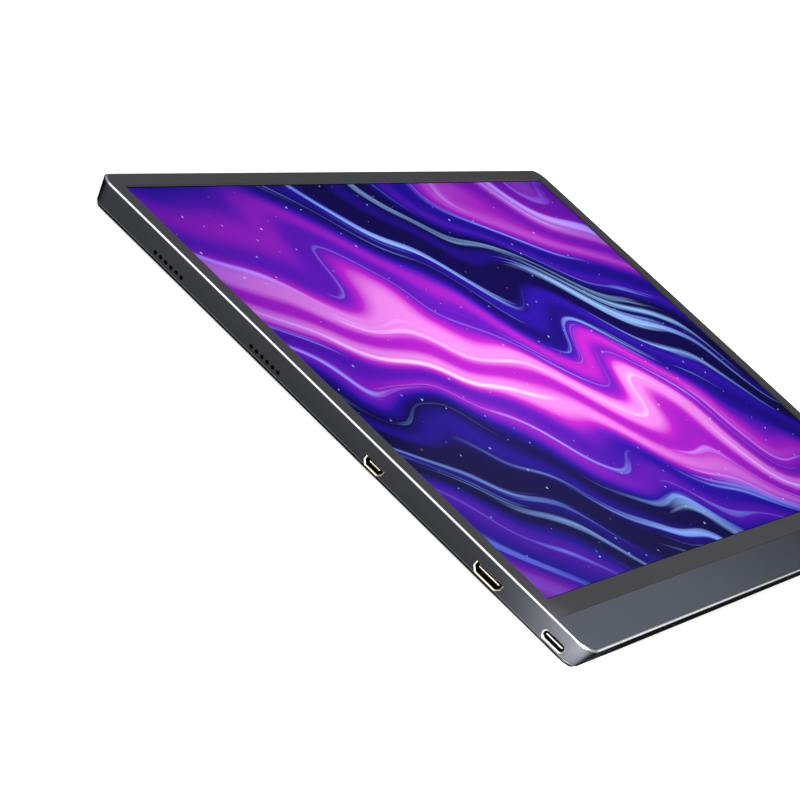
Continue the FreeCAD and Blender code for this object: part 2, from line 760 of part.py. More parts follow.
def make_drive_board():
    """Board in the foot of the panel, its chips and plug, and the films up to the glass."""
    plate("drive_board", "-drive_board_width / 2", "drive_board_width / 2", "drive_low", "drive_high",
          "tray_top", "drive_top")
    chips = new_body("drive_board_chips")
    middle = "display_cable_place"
    square = "drive_board_height / 4"
    tops = [box_loop(f"{x} - {square}", f"{x} + {square}", f"{middle} - {square}", f"{middle} + {square}")
            for x in ("0", "drive_board_width / 5", "-drive_board_width / 3")]
    extrude(chips, new_sketch(chips, "XY_Plane", "drive_top", *tops), "drive_chip_height")
    plug = box_loop("drive_plug_low", "drive_plug_high",
                    f"{middle} - drive_plug_depth / 2", f"{middle} + drive_plug_depth / 2")
    extrude(chips, new_sketch(chips, "XY_Plane", "drive_plug_level", plug), "tray_top - drive_plug_level")

    films = new_body("driver_films")
    thick = "driver_film_thickness"
    bend_high = "frame_foot - glass_fit"
    bend_low = "drive_high - glass_fit"
    seat_end = "drive_high - glass_fit - driver_film_seat"
    profile = [
        (seat_end, "drive_top"), (bend_low, "drive_top"), (bend_high, "tft_top"),
        ("glass_foot - glass_fit", "tft_top"), ("glass_foot - glass_fit", f"tft_top + {thick}"),
        (bend_high, f"tft_top + {thick}"), (bend_low, f"drive_top + {thick}"),
        (seat_end, f"drive_top + {thick}"),
    ]
    pitch = "drive_board_width / driver_film_count"
    section = new_sketch(films, "YZ_Plane", "-drive_board_width / 2 + ("
                         + pitch + " - driver_film_width) / 2", profile)
    film = extrude(films, section, "driver_film_width")
    repeat(films, film, section, "N_Axis", f"drive_board_width - {pitch}", "driver_film_count")


def board_outline(side, inner, high, sockets):
    """Board outline with a notch in its outer edge for each mid-mounted socket, lowest first."""
    low_x, high_x = span(side, inner, "board_outer")
    edge = low_x if side == LEFT else high_x
    notches = []
    for y, width, depth in sockets:
        bottom = f"{side} * (socket_mouth - {depth} - notch_gap)"
        half = f"{width} / 2 + notch_gap"
        notches.append([(edge, f"{y} - ({half})"), (bottom, f"{y} - ({half})"),
                        (bottom, f"{y} + {half}"), (edge, f"{y} + {half}")])
    if side == RIGHT:
        right_edge = [corner for notch in notches for corner in notch]
        return [(low_x, "board_low"), (high_x, "board_low"), *right_edge, (high_x, high), (low_x, high)]
    left_edge = [corner for notch in reversed(notches) for corner in reversed(notch)]
    return [(low_x, "board_low"), (high_x, "board_low"), (high_x, high), (low_x, high), *left_edge]


def make_board(label, side, inner, high, sockets, screws):
    body = new_body(label)
    holes = [Circle(x, y, "screw_hole") for x, y in screws]
    outline = board_outline(side, inner, high, sockets)
    extrude(body, new_sketch(body, "XY_Plane", "board_under", outline, *holes), "board_thickness")


def lead_plug_loop(side, high):
    """Plug for the speaker leads on the underside of a board's upper edge."""
    near = "speaker_inner - lead_run - lead_spacing - lead_plug_width / 2 + lead_spacing / 2"
    low_x, high_x = span(side, near, f"{near} + lead_plug_width")
    return box_loop(low_x, high_x, f"{high} - lead_plug_depth", high)


def make_boards():
    """Main board on the left and power board on the right, with their chips, plugs and screen can."""
    make_board("main_board", LEFT, "main_inner", "main_high",
               [("oval_place", "oval_width", "oval_depth"), ("video_place", "video_width", "video_depth"),
                ("device_place", "device_width", "device_depth")], main_board_screws())
    make_board("power_board", RIGHT, "power_inner", "power_high",
               [("oval_place", "oval_width", "oval_depth")], power_board_screws())

    can_x = "-(main_inner + board_outer) / 2"
    can_y = "video_place"
    chips = new_body("main_board_chips")
    scaler = "shield_width / 4"
    flat = box_loop(f"{can_x} - {scaler}", f"{can_x} + {scaler}",
                    f"{can_y} - {scaler}", f"{can_y} + {scaler}")
    extrude(chips, new_sketch(chips, "XY_Plane", "board_top", flat), "chip_height")
    plugs = [
        box_loop("-main_inner - flat_plug_depth", "-main_inner", "link_place - link_cable_width / 2",
                 "link_place + link_cable_width / 2"),
        box_loop("-main_inner - flat_plug_depth", "-main_inner",
                 "display_cable_place - drive_plug_depth / 2", "display_cable_place + drive_plug_depth / 2"),
    ]
    extrude(chips, new_sketch(chips, "XY_Plane", "board_top", *plugs), "plug_height")
    extrude(chips, new_sketch(chips, "XY_Plane", "board_under", lead_plug_loop(LEFT, "main_high")),
            "lead_plug_height", back=True)

    can = new_body("shield_can")
    lid = box_loop(f"{can_x} - shield_width / 2", f"{can_x} + shield_width / 2",
                   f"{can_y} - shield_length / 2", f"{can_y} + shield_length / 2")
    extrude(can, new_sketch(can, "XY_Plane", "board_top", lid), "shield_height")
    inset = "shield_width / 2 - shield_sheet"
    inside = box_loop(f"{can_x} - ({inset})", f"{can_x} + {inset}",
                      f"{can_y} - shield_length / 2 + shield_sheet",
                      f"{can_y} + shield_length / 2 - shield_sheet")
    cut(can, new_sketch(can, "XY_Plane", "board_top", inside), "shield_height - shield_sheet", back=True)
    slots = [box_loop(f"{can_x} - shield_slot_length / 2", f"{can_x} + shield_slot_length / 2",
                      f"{can_y} + ({line}) * shield_slot_pitch - shield_slot_width / 2",
                      f"{can_y} + ({line}) * shield_slot_pitch + shield_slot_width / 2")
             for line in (-2, -1, 0, 1, 2)]
    cut(can, new_sketch(can, "XY_Plane", "board_top + shield_height", *slots), "2 * shield_sheet")

    power = new_body("power_board_chips")
    coil_x = "(power_inner + board_outer) / 2"
    blocks = (("(lower_rocker_place + oval_place) / 2", "coil_height"),
              ("lower_rocker_place + 2 * shield_width / 3", "chip_height"))
    for y, height in blocks:
        block = box_loop(f"{coil_x} - {scaler}", f"{coil_x} + {scaler}",
                         f"{y} - {scaler}", f"{y} + {scaler}")
        extrude(power, new_sketch(power, "XY_Plane", "board_top", block), height)
    link_plug = box_loop("power_inner", "power_inner + flat_plug_depth",
                         "link_place - link_cable_width / 2", "link_place + link_cable_width / 2")
    extrude(power, new_sketch(power, "XY_Plane", "board_top", link_plug), "plug_height")
    extrude(power, new_sketch(power, "XY_Plane", "board_under", lead_plug_loop(RIGHT, "power_high")),
            "lead_plug_height", back=True)


def make_flat_cables():
    """Flat cable along the floor between the boards, and the one up to the drive board's plug."""
    link = new_body("board_link_cable", y="link_place")
    thick = "flat_cable_thickness"
    high = "board_top + flat_cable_rise"
    low = "floor_thickness"
    clear = "board_edge_gap"
    turns = [("-main_inner", high), (f"-main_inner + {clear}", high),
             (f"-main_inner + {clear} + flat_cable_slope", low),
             (f"power_inner - {clear} - flat_cable_slope", low), (f"power_inner - {clear}", high),
             ("power_inner", high)]
    outline = turns + [(x, f"{z} + {thick}") for x, z in reversed(turns)]
    extrude(link, new_sketch(link, "XZ_Plane", "0", outline), "link_cable_width", both=True)

    cable = new_body("display_cable", y="display_cable_place")
    top = "drive_plug_level"
    turns = [("-main_inner", high), (f"-main_inner + {clear}", high),
             (f"-main_inner + {clear} + flat_cable_slope", top), ("drive_plug_low", top)]
    outline = turns + [(x, f"{z} + {thick}") for x, z in reversed(turns)]
    extrude(cable, new_sketch(cable, "XZ_Plane", "0", outline), "drive_plug_depth", both=True)


def add_wings(shell, side, width, level, wall):
    """Two soldered wings that lie on the board beside a mid-mounted socket."""
    low_x, high_x = span(side, "-wing_from_mouth - wing_depth", "-wing_from_mouth")
    pads = [box_loop(low_x, high_x, f"{width} / 2 - {wall} / 2", f"{width} / 2 + wing_length"),
            box_loop(low_x, high_x, f"-{width} / 2 - wing_length", f"-{width} / 2 + {wall} / 2")]
    extrude(shell, new_sketch(shell, "XY_Plane", f"board_top - {level}", *pads), "wing_thickness")


def make_socket(name, ending, side, loop_of, kind):
    """Metal shell with wings, and an insulator whose tongue reaches towards the mouth."""
    sizes = {word: f"{kind}_{word}" for word in ("width", "height", "wall", "depth", "level")}
    middle = (f"{side} * socket_mouth", f"{kind}_place", sizes["level"])
    inward = side == RIGHT
    shell = new_body(f"{name}_shell{ending}", *middle)
    ring = new_sketch(shell, "YZ_Plane", "0", loop_of("0"), loop_of(f"-{sizes['wall']}"))
    extrude(shell, ring, sizes["depth"], back=inward)
    add_wings(shell, side, sizes["width"], sizes["level"], sizes["wall"])

    tongue = new_body(f"{name}_tongue{ending}", *middle)
    plug = new_sketch(tongue, "YZ_Plane", f"{-side} * {sizes['depth']}",
                      loop_of(f"-{sizes['wall']} - socket_fit"))
    extrude(tongue, plug, "insulator_length", back=not inward)
    lift = f"{kind}_tongue_lift" if f"{kind}_tongue_lift" in SIZES else "0"
    half_width = f"{kind}_tongue_width / 2"
    half_height = f"{kind}_tongue_height / 2"
    blade = new_sketch(tongue, "YZ_Plane", f"{-side} * tongue_setback",
                       box_loop(f"-{half_width}", half_width,
                                f"{lift} - {half_height}", f"{lift} + {half_height}"))
    extrude(tongue, blade, f"{sizes['depth']} - tongue_setback - insulator_length", back=inward)
    return middle


def make_contacts(name, kind, middle):
    """Row of contact strips lying along the underside of a tongue."""
    body = new_body(f"{name}_contacts", *middle)
    top = f"{kind}_tongue_lift - {kind}_tongue_height / 2"
    pitch = f"{kind}_tongue_width / {kind}_contacts"
    first = f"-{kind}_tongue_width / 2 + {pitch} / 2"
    section = new_sketch(body, "YZ_Plane", "tongue_setback",
                         box_loop(f"{first} - contact_width / 2", f"{first} + contact_width / 2",
                                  f"{top} - contact_thickness", top))
    strip = extrude(body, section, f"{kind}_depth - tongue_setback - insulator_length")
    repeat(body, strip, section, "H_Axis", f"{kind}_tongue_width - {pitch}", f"{kind}_contacts")


def make_sockets():
    """Oval socket in both walls, and the video and device sockets in the left one."""
    def oval(grow):
        return oval_loop(f"oval_width + 2 * ({grow})", f"oval_height + 2 * ({grow})")

    def video(grow):
        return trapezoid_loop("video_width", "video_height", "video_corner", grow)

    def device(grow):
        return trapezoid_loop("device_width", "device_height", "device_corner", grow)

    for ending, side in SIDES.items():
        make_socket("oval_socket", f"_{ending}", side, oval, "oval")
    make_contacts("video_socket", "video", make_socket("video_socket", "", LEFT, video, "video"))
    make_contacts("device_socket", "device", make_socket("device_socket", "", LEFT, device, "device"))


def make_rocker(row, y):
    """Bar key on two short pins, with a flange behind the wall and a nub over each switch."""
    key = new_body(f"rocker_key_{row}", "pivot_out", y, "rocker_level")
    bar = new_sketch(key, "YZ_Plane", "key_flange_back", oval_loop("key_length", "key_height"))
    extrude(key, bar, "key_face + key_height * wall_slope - key_flange_back")
    rake = [("key_face - key_height * wall_slope", "-key_height"),
            ("key_face + 2 * key_height", "-key_height"),
            ("key_face + 2 * key_height", "key_height"),
            ("key_face + key_height * wall_slope", "key_height")]
    cut(key, new_sketch(key, "XZ_Plane", "0", rake), "2 * key_length", both=True)
    flange = box_loop("-key_length / 2 - key_flange_overlap", "key_length / 2 + key_flange_overlap",
                      "-key_flange_height / 2", "key_flange_height / 2")
    extrude(key, new_sketch(key, "YZ_Plane", "key_flange_back", flange), "key_flange_thickness")
    hub = box_loop("-hub_width / 2", "hub_width / 2", "-hub_height / 2", "hub_height / 2")
    extrude(key, new_sketch(key, "YZ_Plane", "-hub_back", hub), "hub_back + key_flange_back")
    nubs = [box_loop(f"{end} * nub_offset - nub_width / 2", f"{end} * nub_offset + nub_width / 2",
                     "-nub_height / 2", "nub_height / 2") for end in (-1, 1)]
    extrude(key, new_sketch(key, "YZ_Plane", "-nub_reach", *nubs), "nub_reach + key_flange_back")
    pin = Circle("0", "0", "pin_diameter")
    extrude(key, new_sketch(key, "XY_Plane", "0", pin), "2 * ear_reach", both=True)
    doc.recompute()
    rim = [f"Edge{index}" for index, side in enumerate(key.Shape.Edges, start=1) if is_key_rim(side)]
    whole = key.Tip
    break_edge = key.newObject("PartDesign::Chamfer", f"{key.Name}_edge")
    break_edge.Base = (whole, rim)
    bind(break_edge, "Size", "key_edge")

    bracket = new_body(f"rocker_bracket_{row}", "pivot_out", y, "rocker_level")
    ear = "hub_height / 2 + ear_gap"
    profile = [("-bracket_back", "board_top - rocker_level"), ("bracket_front", "board_top - rocker_level"),
               ("bracket_front", f"-({ear})"), ("-bracket_back + bracket_post", f"-({ear})"),
               ("-bracket_back + bracket_post", ear), ("bracket_front", ear),
               ("bracket_front", "ear_reach"), ("-bracket_back", "ear_reach")]
    extrude(bracket, new_sketch(bracket, "XZ_Plane", "0", profile), "bracket_width", both=True)
    bore = Circle("0", "0", "pin_diameter + 2 * pin_play")
    cut(bracket, new_sketch(bracket, "XY_Plane", "ear_reach", bore), "2 * ear_reach")


def is_key_rim(side):
    """True for an edge of the key's outer, sloped face."""
    face = number("wall_face_at_key") + number("key_proud")
    middle = side.CenterOfMass
    level = middle.z - number("rocker_level")
    return abs(middle.x - face - level * number("wall_slope")) < number("key_edge") / 2


def make_keys():
    """Both rocker keys with their brackets, and the four switches behind them."""
    for row, y in ROCKERS.items():
        make_rocker(row, y)
    tacts = new_body("tact_switches")
    middles = [f"{y} + {end} * nub_offset" for y in ROCKERS.values() for end in (-1, 1)]
    cases = [box_loop("tact_front - tact_depth", "tact_front",
                      f"{y} - tact_width / 2", f"{y} + tact_width / 2") for y in middles]
    extrude(tacts, new_sketch(tacts, "XY_Plane", "board_top", *cases),
            "tray_under - bracket_headroom - board_top")
    plungers = [box_loop(f"{y} - plunger_width / 2", f"{y} + plunger_width / 2",
                         "rocker_level - plunger_width / 2", "rocker_level + plunger_width / 2")
                for y in middles]
    extrude(tacts, new_sketch(tacts, "YZ_Plane", "tact_front", *plungers), "plunger_length")


def make_speaker(side_name, side, row, y):
    """Moulded box with a port to the drilled holes, its dished cone and its magnet plate."""
    name = f"{side_name}_{row}"
    box = new_body(f"speaker_box_{name}", f"{side} * speaker_front", y, "floor_thickness")

    def footprint(inset):
        low_x, high_x = span(side, f"-speaker_depth + {inset}", f"-({inset})")
        return box_loop(low_x, high_x, f"-speaker_length / 2 + {inset}", f"speaker_length / 2 - ({inset})")

    low_x, high_x = span(side, "-speaker_depth", "0")
    outline = round_loop(low_x, high_x, "-speaker_length / 2", "speaker_length / 2", "speaker_corner")
    extrude(box, new_sketch(box, "XY_Plane", "0", outline), "speaker_height")
    cut(box, new_sketch(box, "XY_Plane", "speaker_height", footprint("speaker_wall")),
        "speaker_height - speaker_base - speaker_chamber")
    cut(box, new_sketch(box, "XY_Plane", "speaker_height", footprint("speaker_wall + speaker_step")),
        "speaker_height - speaker_base")
    port_level = "speaker_hole_level - floor_thickness"
    port = box_loop("-port_half", "port_half",
                    f"{port_level} - port_height / 2", f"{port_level} + port_height / 2")
    cut(box, new_sketch(box, "YZ_Plane", "0", port), "speaker_wall + speaker_step", back=side == LEFT)

    cone = new_body(f"speaker_diaphragm_{name}", f"{side} * speaker_front", y, "floor_thickness")
    seat = "speaker_base + speaker_chamber"
    extrude(cone, new_sketch(cone, "XY_Plane", seat, footprint("speaker_wall + cone_fit")), "cone_rim")
    dish = extrude(cone, new_sketch(cone, "XY_Plane", seat,
                                    footprint("speaker_wall + speaker_step + cone_surround")),
                   "cone_dish", back=True)
    bind(dish, "TaperAngle", "-cone_slope")

    yoke = new_body(f"speaker_yoke_{name}", f"{side} * speaker_front", y, "floor_thickness")
    extrude(yoke, new_sketch(yoke, "XY_Plane", "speaker_height", footprint("yoke_inset")), "yoke_thickness")
    extrude(yoke, new_sketch(yoke, "XY_Plane", "speaker_height", footprint("magnet_margin")),
            "magnet_height", back=True)


def make_speakers():
    """Two speakers a side, sealed to the wall round their ports."""
    for side_name, side in SIDES.items():
        for row, y in SPEAKER_ROWS.items():
            make_speaker(side_name, side, row, y)
    gaskets = new_body("speaker_gaskets")
    for side in SIDES.values():
        rings = []
        for y in SPEAKER_ROWS.values():
            for grow in ("gasket_width", "0"):
                rings.append(box_loop(f"{y} - port_half - {grow}", f"{y} + port_half + {grow}",
                                      f"speaker_hole_level - port_height / 2 - {grow}",
                                      f"speaker_hole_level + port_height / 2 + {grow}"))
        seals = new_sketch(gaskets, "YZ_Plane", f"{side} * speaker_front", *rings)
        extrude(gaskets, seals, "speaker_gasket", back=side == LEFT)


def lead_path(body, side, row, high, offset):
    """Run out of the speaker, one bend, and a straight run down to the plug under the board."""
    turn = f"{side} * (speaker_inner - lead_run - {offset})"
    mouth = f"{side} * speaker_inner"
    bend = f"{side} * lead_bend"
    support = next(item for item in body.Origin.OriginFeatures if item.Role == "XY_Plane")
    path = body.newObject("Sketcher::SketchObject", f"{body.Name}_path")
    path.AttachmentSupport = [(support, "")]
    path.MapMode = "FlatFace"
    bind(path, "AttachmentOffset.Base.z", "lead_level")
    corners = [(mouth, row), (f"{turn} + {bend}", row), (turn, f"{row} - lead_bend"), (turn, high)]
    points = [FreeCAD.Vector(number(x), number(y), 0) for x, y in corners]
    centre = FreeCAD.Vector(points[1].x, points[2].y, 0)
    circle = Part.Circle(centre, FreeCAD.Vector(0, 0, 1), number("lead_bend"))
    quarter = math.pi / 2
    start = quarter if side == RIGHT else 0
    path.addGeometry([Part.LineSegment(points[0], points[1]),
                      Part.ArcOfCircle(circle, start, start + quarter),
                      Part.LineSegment(points[2], points[3])], False)
    arc_first, arc_last = (1, 2) if side == RIGHT else (2, 1)
    rules = [Sketcher.Constraint("Coincident", 0, 2, 1, arc_first),
             Sketcher.Constraint("Coincident", 1, arc_last, 2, 1),
             Sketcher.Constraint("Radius", 1, number("lead_bend"))]
    bonds = {2: "lead_bend"}
    for index, point, corner in ((0, 1, 0), (0, 2, 1), (2, 1, 2), (2, 2, 3)):
        for kind, text in zip(("DistanceX", "DistanceY"), corners[corner]):
            bonds[len(rules)] = text
            rules.append(Sketcher.Constraint(kind, -1, 1, index, point, number(text)))
    path.addConstraint(rules)
    for index, text in bonds.items():
        bind(path, f"Constraints[{index}]", text)
    return path


def make_leads():
    """Flat twin leads from the two speakers of a side to the plug under that side's board."""
    boards = {"left": "main_high", "right": "power_high"}
    for side_name, side in SIDES.items():
        body = new_body(f"speaker_leads_{side_name}")
        for row, offset in (("upper_speaker_place", "lead_spacing"), ("lower_speaker_place", "0")):
            path = lead_path(body, side, row, boards[side_name], offset)
            section = new_sketch(body, "YZ_Plane", f"{side} * speaker_inner",
                                 box_loop(f"{row} - lead_width / 2", f"{row} + lead_width / 2",
                                          "floor_thickness", "floor_thickness + lead_thickness"))
            pipe = body.newObject("PartDesign::AdditivePipe", f"{body.Name}_lead")
            pipe.Profile = section
            pipe.Spine = (path, [])


def make_screws():
    """Equal flat-headed screws through the boards into the case's bosses."""
    body = new_body("screws")
    shanks = [Circle(x, y, "screw_shank") for x, y in screw_places()]
    heads = [Circle(x, y, "screw_head") for x, y in screw_places()]
    extrude(body, new_sketch(body, "XY_Plane", "floor_thickness + screw_tip_gap", *shanks),
            "board_top - floor_thickness - screw_tip_gap")
    extrude(body, new_sketch(body, "XY_Plane", "board_top", *heads), "screw_head_height")


def check_model():
    """Stop before anything is written if a feature failed, a cut missed or a shape is bad."""
    for thing in doc.Objects:
        if "Invalid" in thing.State or "Error" in thing.State:
            raise RuntimeError(f"{thing.Name} failed: {thing.State}")
    for pocket in cuts:
        if pocket.Shape.Volume >= pocket.BaseFeature.Shape.Volume:
            raise RuntimeError(f"{pocket.Name} cuts nothing")
    for part in sub_parts:
        if part.Shape.isNull() or not part.Shape.isValid() or not part.Shape.Solids:
            raise RuntimeError(f"{part.Label} has no valid solid")


def write_parts():
    os.makedirs("parts", exist_ok=True)
    for part in sub_parts:
        part.Shape.exportStep(f"parts/{part.Label}.step")


make_rear_shell()
make_front()
make_screen_glass()
make_backlight()
make_drive_board()
make_boards()
make_flat_cables()
make_sockets()
make_keys()
make_speakers()
make_leads()
make_screws()
doc.recompute()
check_model()
write_parts()
print(len(sub_parts), "sub-parts written")
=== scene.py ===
# Looks of a slim portable monitor that lies on its back with its screen lit.
# X runs along the screen's width, Y up its height and Z out of it, in metres.

import math

import bmesh
import bpy
from mathutils import Matrix, Vector


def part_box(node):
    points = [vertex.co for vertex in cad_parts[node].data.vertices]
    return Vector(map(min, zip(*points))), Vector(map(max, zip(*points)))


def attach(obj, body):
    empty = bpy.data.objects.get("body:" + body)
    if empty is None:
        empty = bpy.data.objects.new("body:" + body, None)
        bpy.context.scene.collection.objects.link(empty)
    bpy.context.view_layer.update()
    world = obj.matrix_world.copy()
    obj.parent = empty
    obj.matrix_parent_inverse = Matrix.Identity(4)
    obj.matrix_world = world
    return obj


bl_info = {
    "name": "Portable monitor finish",
    "version": (1, 0, 0),
    "blender": (4, 5, 0),
    "location": "3D View > Sidebar > Monitor",
    "description": "Dresses a packed portable monitor with its materials, marks and studio",
    "category": "Object",
}

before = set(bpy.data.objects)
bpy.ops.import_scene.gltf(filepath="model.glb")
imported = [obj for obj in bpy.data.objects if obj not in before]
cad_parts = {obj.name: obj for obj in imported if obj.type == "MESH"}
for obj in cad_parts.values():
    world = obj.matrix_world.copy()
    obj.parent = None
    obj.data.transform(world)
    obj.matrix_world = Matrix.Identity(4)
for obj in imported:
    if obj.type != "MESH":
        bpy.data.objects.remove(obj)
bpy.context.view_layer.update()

MM = 0.001
CASE_BODY = "case"
RIGHT = 1
LEFT = -1
OVAL_SIDES = {"left": LEFT, "right": RIGHT}

# Range that most of a pattern's values lie in.
PATTERN_LOW = 0.25
PATTERN_HIGH = 0.75
MIDDLE_HALF = {"From Min": PATTERN_LOW, "From Max": PATTERN_HIGH}
# Size of cloudy patches against the mould grain, and against the spacing of drawn lines.
CLOUD_GRAINS = 60
CLOUD_LINES = 40

# Weights of ribbons and pleats in the screen's pattern, and the shift that keeps their sum below one.
RIBBON_SHARE = 0.8
PLEAT_SHARE = 0.32
PLEAT_SHIFT = -0.13
# Place of each screen colour on the scale from dark to light.
LIGHT_STOPS = {"deep": 0.06, "blue": 0.34, "violet": 0.54, "magenta": 0.72, "pink": 0.9}
# Noise level where a thin streak starts, and where it is fully bright.
STREAK_RANGE = {"From Min": 0.57, "From Max": 0.715}
# Distance from the lit area's middle, in half sizes of it, where the shading starts and ends.
SHADE_RANGE = {"From Min": 0.35, "From Max": 1.35}
# Share of cells without a speck, and the largest speck's radius in cells.
SPECK_FREE = 0.45
SPECK_REACH = 0.05

# Steps round a printed ring, and round a half-round end.
RING_STEPS = 28
END_STEPS = 10
# A lip's side wall has less than this share of its normal along X.
UPRIGHT = 0.5

# Signs on the right wall: places are in millimetres along the case, and levels over its back.
KEY_SIGN_LEVEL = 5.1
# Place of each sun, and its radius as a share of a round sign's.
SUN_SIGNS = ((-6.9, 0.46), (-29.0, 0.36))
SUN_RAYS = 8
# Middle and length of a ray, in radii of its sun.
RAY_MIDDLE = 1.95
RAY_LENGTH = 0.7
# Place of each dial, and whether it has a dot and not a bar.
DIAL_SIGNS = ((-53.3, False), (-75.7, True))
# Place and level of the bolt, and its outline in millimetres along the case and up the wall.
BOLT_PLACE = (-93.1, 4.0)
BOLT_OUTLINE = ((0.35, 1.8), (-1.0, -0.15), (-0.07, -0.15), (-0.35, -1.8), (1.0, 0.25), (0.07, 0.25))
# A sun's line, its rays' line and a dot's radius, in printed lines.
SUN_LINE = 0.8
RAY_LINE = 0.75
DOT_RADIUS = 0.75
# Depth of the ink inside the wall, in heights of its film.
INK_SINK = 0.5

# Soft boxes: place, point aimed at, size, power in watts and the beam's full angle in degrees.
LIGHT_CARDS = {
    "key_card": ((-0.9, -1.0, 1.3), (0, 0, 0), (1.6, 1.2), 14.0, 180),
    "top_card": ((-0.6, 0.5, 1.5), (0, 0, 0), (1.4, 1.4), 8.0, 180),
    "fill_card": ((0.9, 0.9, 1.2), (0, 0, 0), (1.2, 1.2), 3.0, 180),
    "rim_card": ((1.35, -0.51, 0.42), (0, -0.11, 0.01), (0.5, 0.35), 1.5, 180),
    "strip_card": ((0.32, -0.03, 0.2), (-0.17, -0.1, 0.01), (0.3, 0.12), 0.076, 180),
    "corner_card": ((-0.235, -0.155, 0.1), (-0.234, -0.154, 0), (0.04, 0.04), 1.6, 80),
}
# Heading of the dark patch in the air, and the cosines where it starts and is darkest.
FLAG_HEADING = (0.952, 0.269, 0.14)
FLAG_RANGE = {"From Min": 0.9, "From Max": 0.985}
# Size and place of the dark card beside the lower wall, and the size of its nap.
CARD_SIZE = (0.36, 0.01)
CARD_PLACE = (0.008, -0.113, -0.1 * MM)
CARD_NAP = 2 * MM
# Place of the floor's middle, and the size of its faint patches.
FLOOR_PLACE = (0, 0, -0.2 * MM)
FLOOR_MOTTLE = 80 * MM
# Camera's axes and place, and its sensor's width in millimetres.
CAMERA_RIGHT = (0.4323, -0.6899, 0.5807)
CAMERA_UP = (0.0728, 0.6686, 0.7401)
CAMERA_BACK = (-0.8988, -0.2776, 0.3393)
CAMERA_PLACE = (-0.9931, -0.2661, 0.3323)
SENSOR_WIDTH = 36.0


def linear(text):
    """Linear RGB of an sRGB hex colour."""
    channels = [int(text[start:start + 2], 16) / 255 for start in (1, 3, 5)]
    return tuple(c / 12.92 if c <= 0.04045 else ((c + 0.055) / 1.055) ** 2.4 for c in channels)


def paint(colour):
    """Colour setting with an opaque alpha, for a shader socket."""
    return (*colour, 1.0)


def colour_setting(title, text, default):
    return bpy.props.FloatVectorProperty(name=title, description=text, subtype="COLOR", size=3,
                                         min=0, max=1, default=linear(default))


def length_setting(title, text, default):
    return bpy.props.FloatProperty(name=title, description=text, unit="LENGTH", min=0, precision=5,
                                   default=default)


def share_setting(title, text, default):
    return bpy.props.FloatProperty(name=title, description=text, subtype="FACTOR", min=0, max=1,
                                   default=default)


def count_setting(title, text, default):
    return bpy.props.IntProperty(name=title, description=text, min=1, default=default)


class CaseFinish(bpy.types.PropertyGroup):
    """Machined metal case."""
    colour: colour_setting("Anodised colour", "Dark grey of the dyed oxide layer", "#38393D")
    rim_colour: colour_setting("Rim colour", "Bare metal of the cut rim", "#E4E5E8")
    blast_grain: length_setting("Blast grain", "Size of the bead-blasted pits", 0.45 * MM)
    cloud: length_setting("Cloud", "Size of the faint patches in the dye", 55 * MM)
    roughness: share_setting("Roughness", "Dullness of the blasted surface", 0.32)
    rim_roughness: share_setting("Rim roughness", "Dullness of the cut rim", 0.2)
    grazing: share_setting("Grazing", "Reflection left at a grazing angle", 0.05)
    rim_low: length_setting("Rim foot", "Height where the cut rim starts to shine", 9.1 * MM)
    rim_high: length_setting("Rim top", "Height from which the cut rim is fully bright", 9.3 * MM)
    # The edge over the back chamfer gets a lighter line: partly burnished wear, partly a painted highlight
    # where that edge catches light.
    foot_edge: length_setting("Foot edge", "Height of the edge over the back chamfer", 1.2 * MM)
    edge_core: length_setting("Edge core", "Distance from that edge where its wear is full", 0.03 * MM)
    edge_reach: length_setting("Edge reach", "Distance from that edge where its wear ends", 0.12 * MM)
    edge_wear_and_highlight: share_setting("Edge wear", "How far that edge is burnished", 0.35)


class FrontFinish(bpy.types.PropertyGroup):
    """Moulded bezel and metal strip."""
    bezel_colour: colour_setting("Bezel colour", "Moulded frame round the screen", "#303033")
    bezel_grain: length_setting("Bezel grain", "Size of the moulded texture", 0.5 * MM)
    strip_colour: colour_setting("Strip colour", "Brushed strip below the screen", "#797F8D")
    brush_spacing: length_setting("Brush spacing", "Distance between brushed lines", 0.5 * MM)
    brush_length: length_setting("Brush length", "Length of a brushed line", 45 * MM)


class ScreenFinish(bpy.types.PropertyGroup):
    """Lit screen with a generic pattern of ribbons of light."""
    deep: colour_setting("Deep colour", "Darkest part of the pattern", "#130650")
    blue: colour_setting("Blue", "Blue between the ribbons", "#3012AC")
    violet: colour_setting("Violet", "Flank of a ribbon", "#7A1CC8")
    magenta: colour_setting("Magenta", "Body of a ribbon", "#D028D6")
    pink: colour_setting("Pink", "Crown of a ribbon", "#FF92F5")
    pale: colour_setting("Pale blue", "Thin streaks and specks", "#A9DCFF")
    edge_tint: colour_setting("Edge tint", "Shade over the lit area's corners", "#6F69BB")
    face: colour_setting("Face", "Unlit face of the polariser", "#030304")
    ribbon: length_setting("Ribbon spacing", "Distance from ribbon to ribbon", 165 * MM)
    pleat: length_setting("Pleat spacing", "Distance between folds inside a ribbon", 26 * MM)
    fold: length_setting("Fold size", "Size of the ribbons' bends", 130 * MM)
    sway: length_setting("Sway", "How far the ribbons bend sideways", 150 * MM)
    slant: bpy.props.FloatProperty(name="Slant", description="Turn of the ribbons", subtype="ANGLE",
                                   default=math.radians(-62))
    hair_width: length_setting("Hair width", "Distance between thin streaks", 8 * MM)
    hair_length: length_setting("Hair length", "Length of a thin streak", 210 * MM)
    speck: length_setting("Speck spacing", "Mean distance between specks", 11 * MM)
    lit_width: length_setting("Lit width", "Width of the lit area", 344.16 * MM)
    lit_height: length_setting("Lit height", "Height of the lit area", 193.59 * MM)
    lit_middle: length_setting("Lit middle", "Height of the lit area's middle over the frame's origin",
                               8.405 * MM)
    grain: length_setting("Grain", "Size of the anti-glare texture", 0.4 * MM)
    gloss: share_setting("Gloss", "Strength of the face's reflection", 0.008)
    brightness: bpy.props.FloatProperty(name="Brightness", description="Light level of the screen",
                                        min=0, default=1.1)


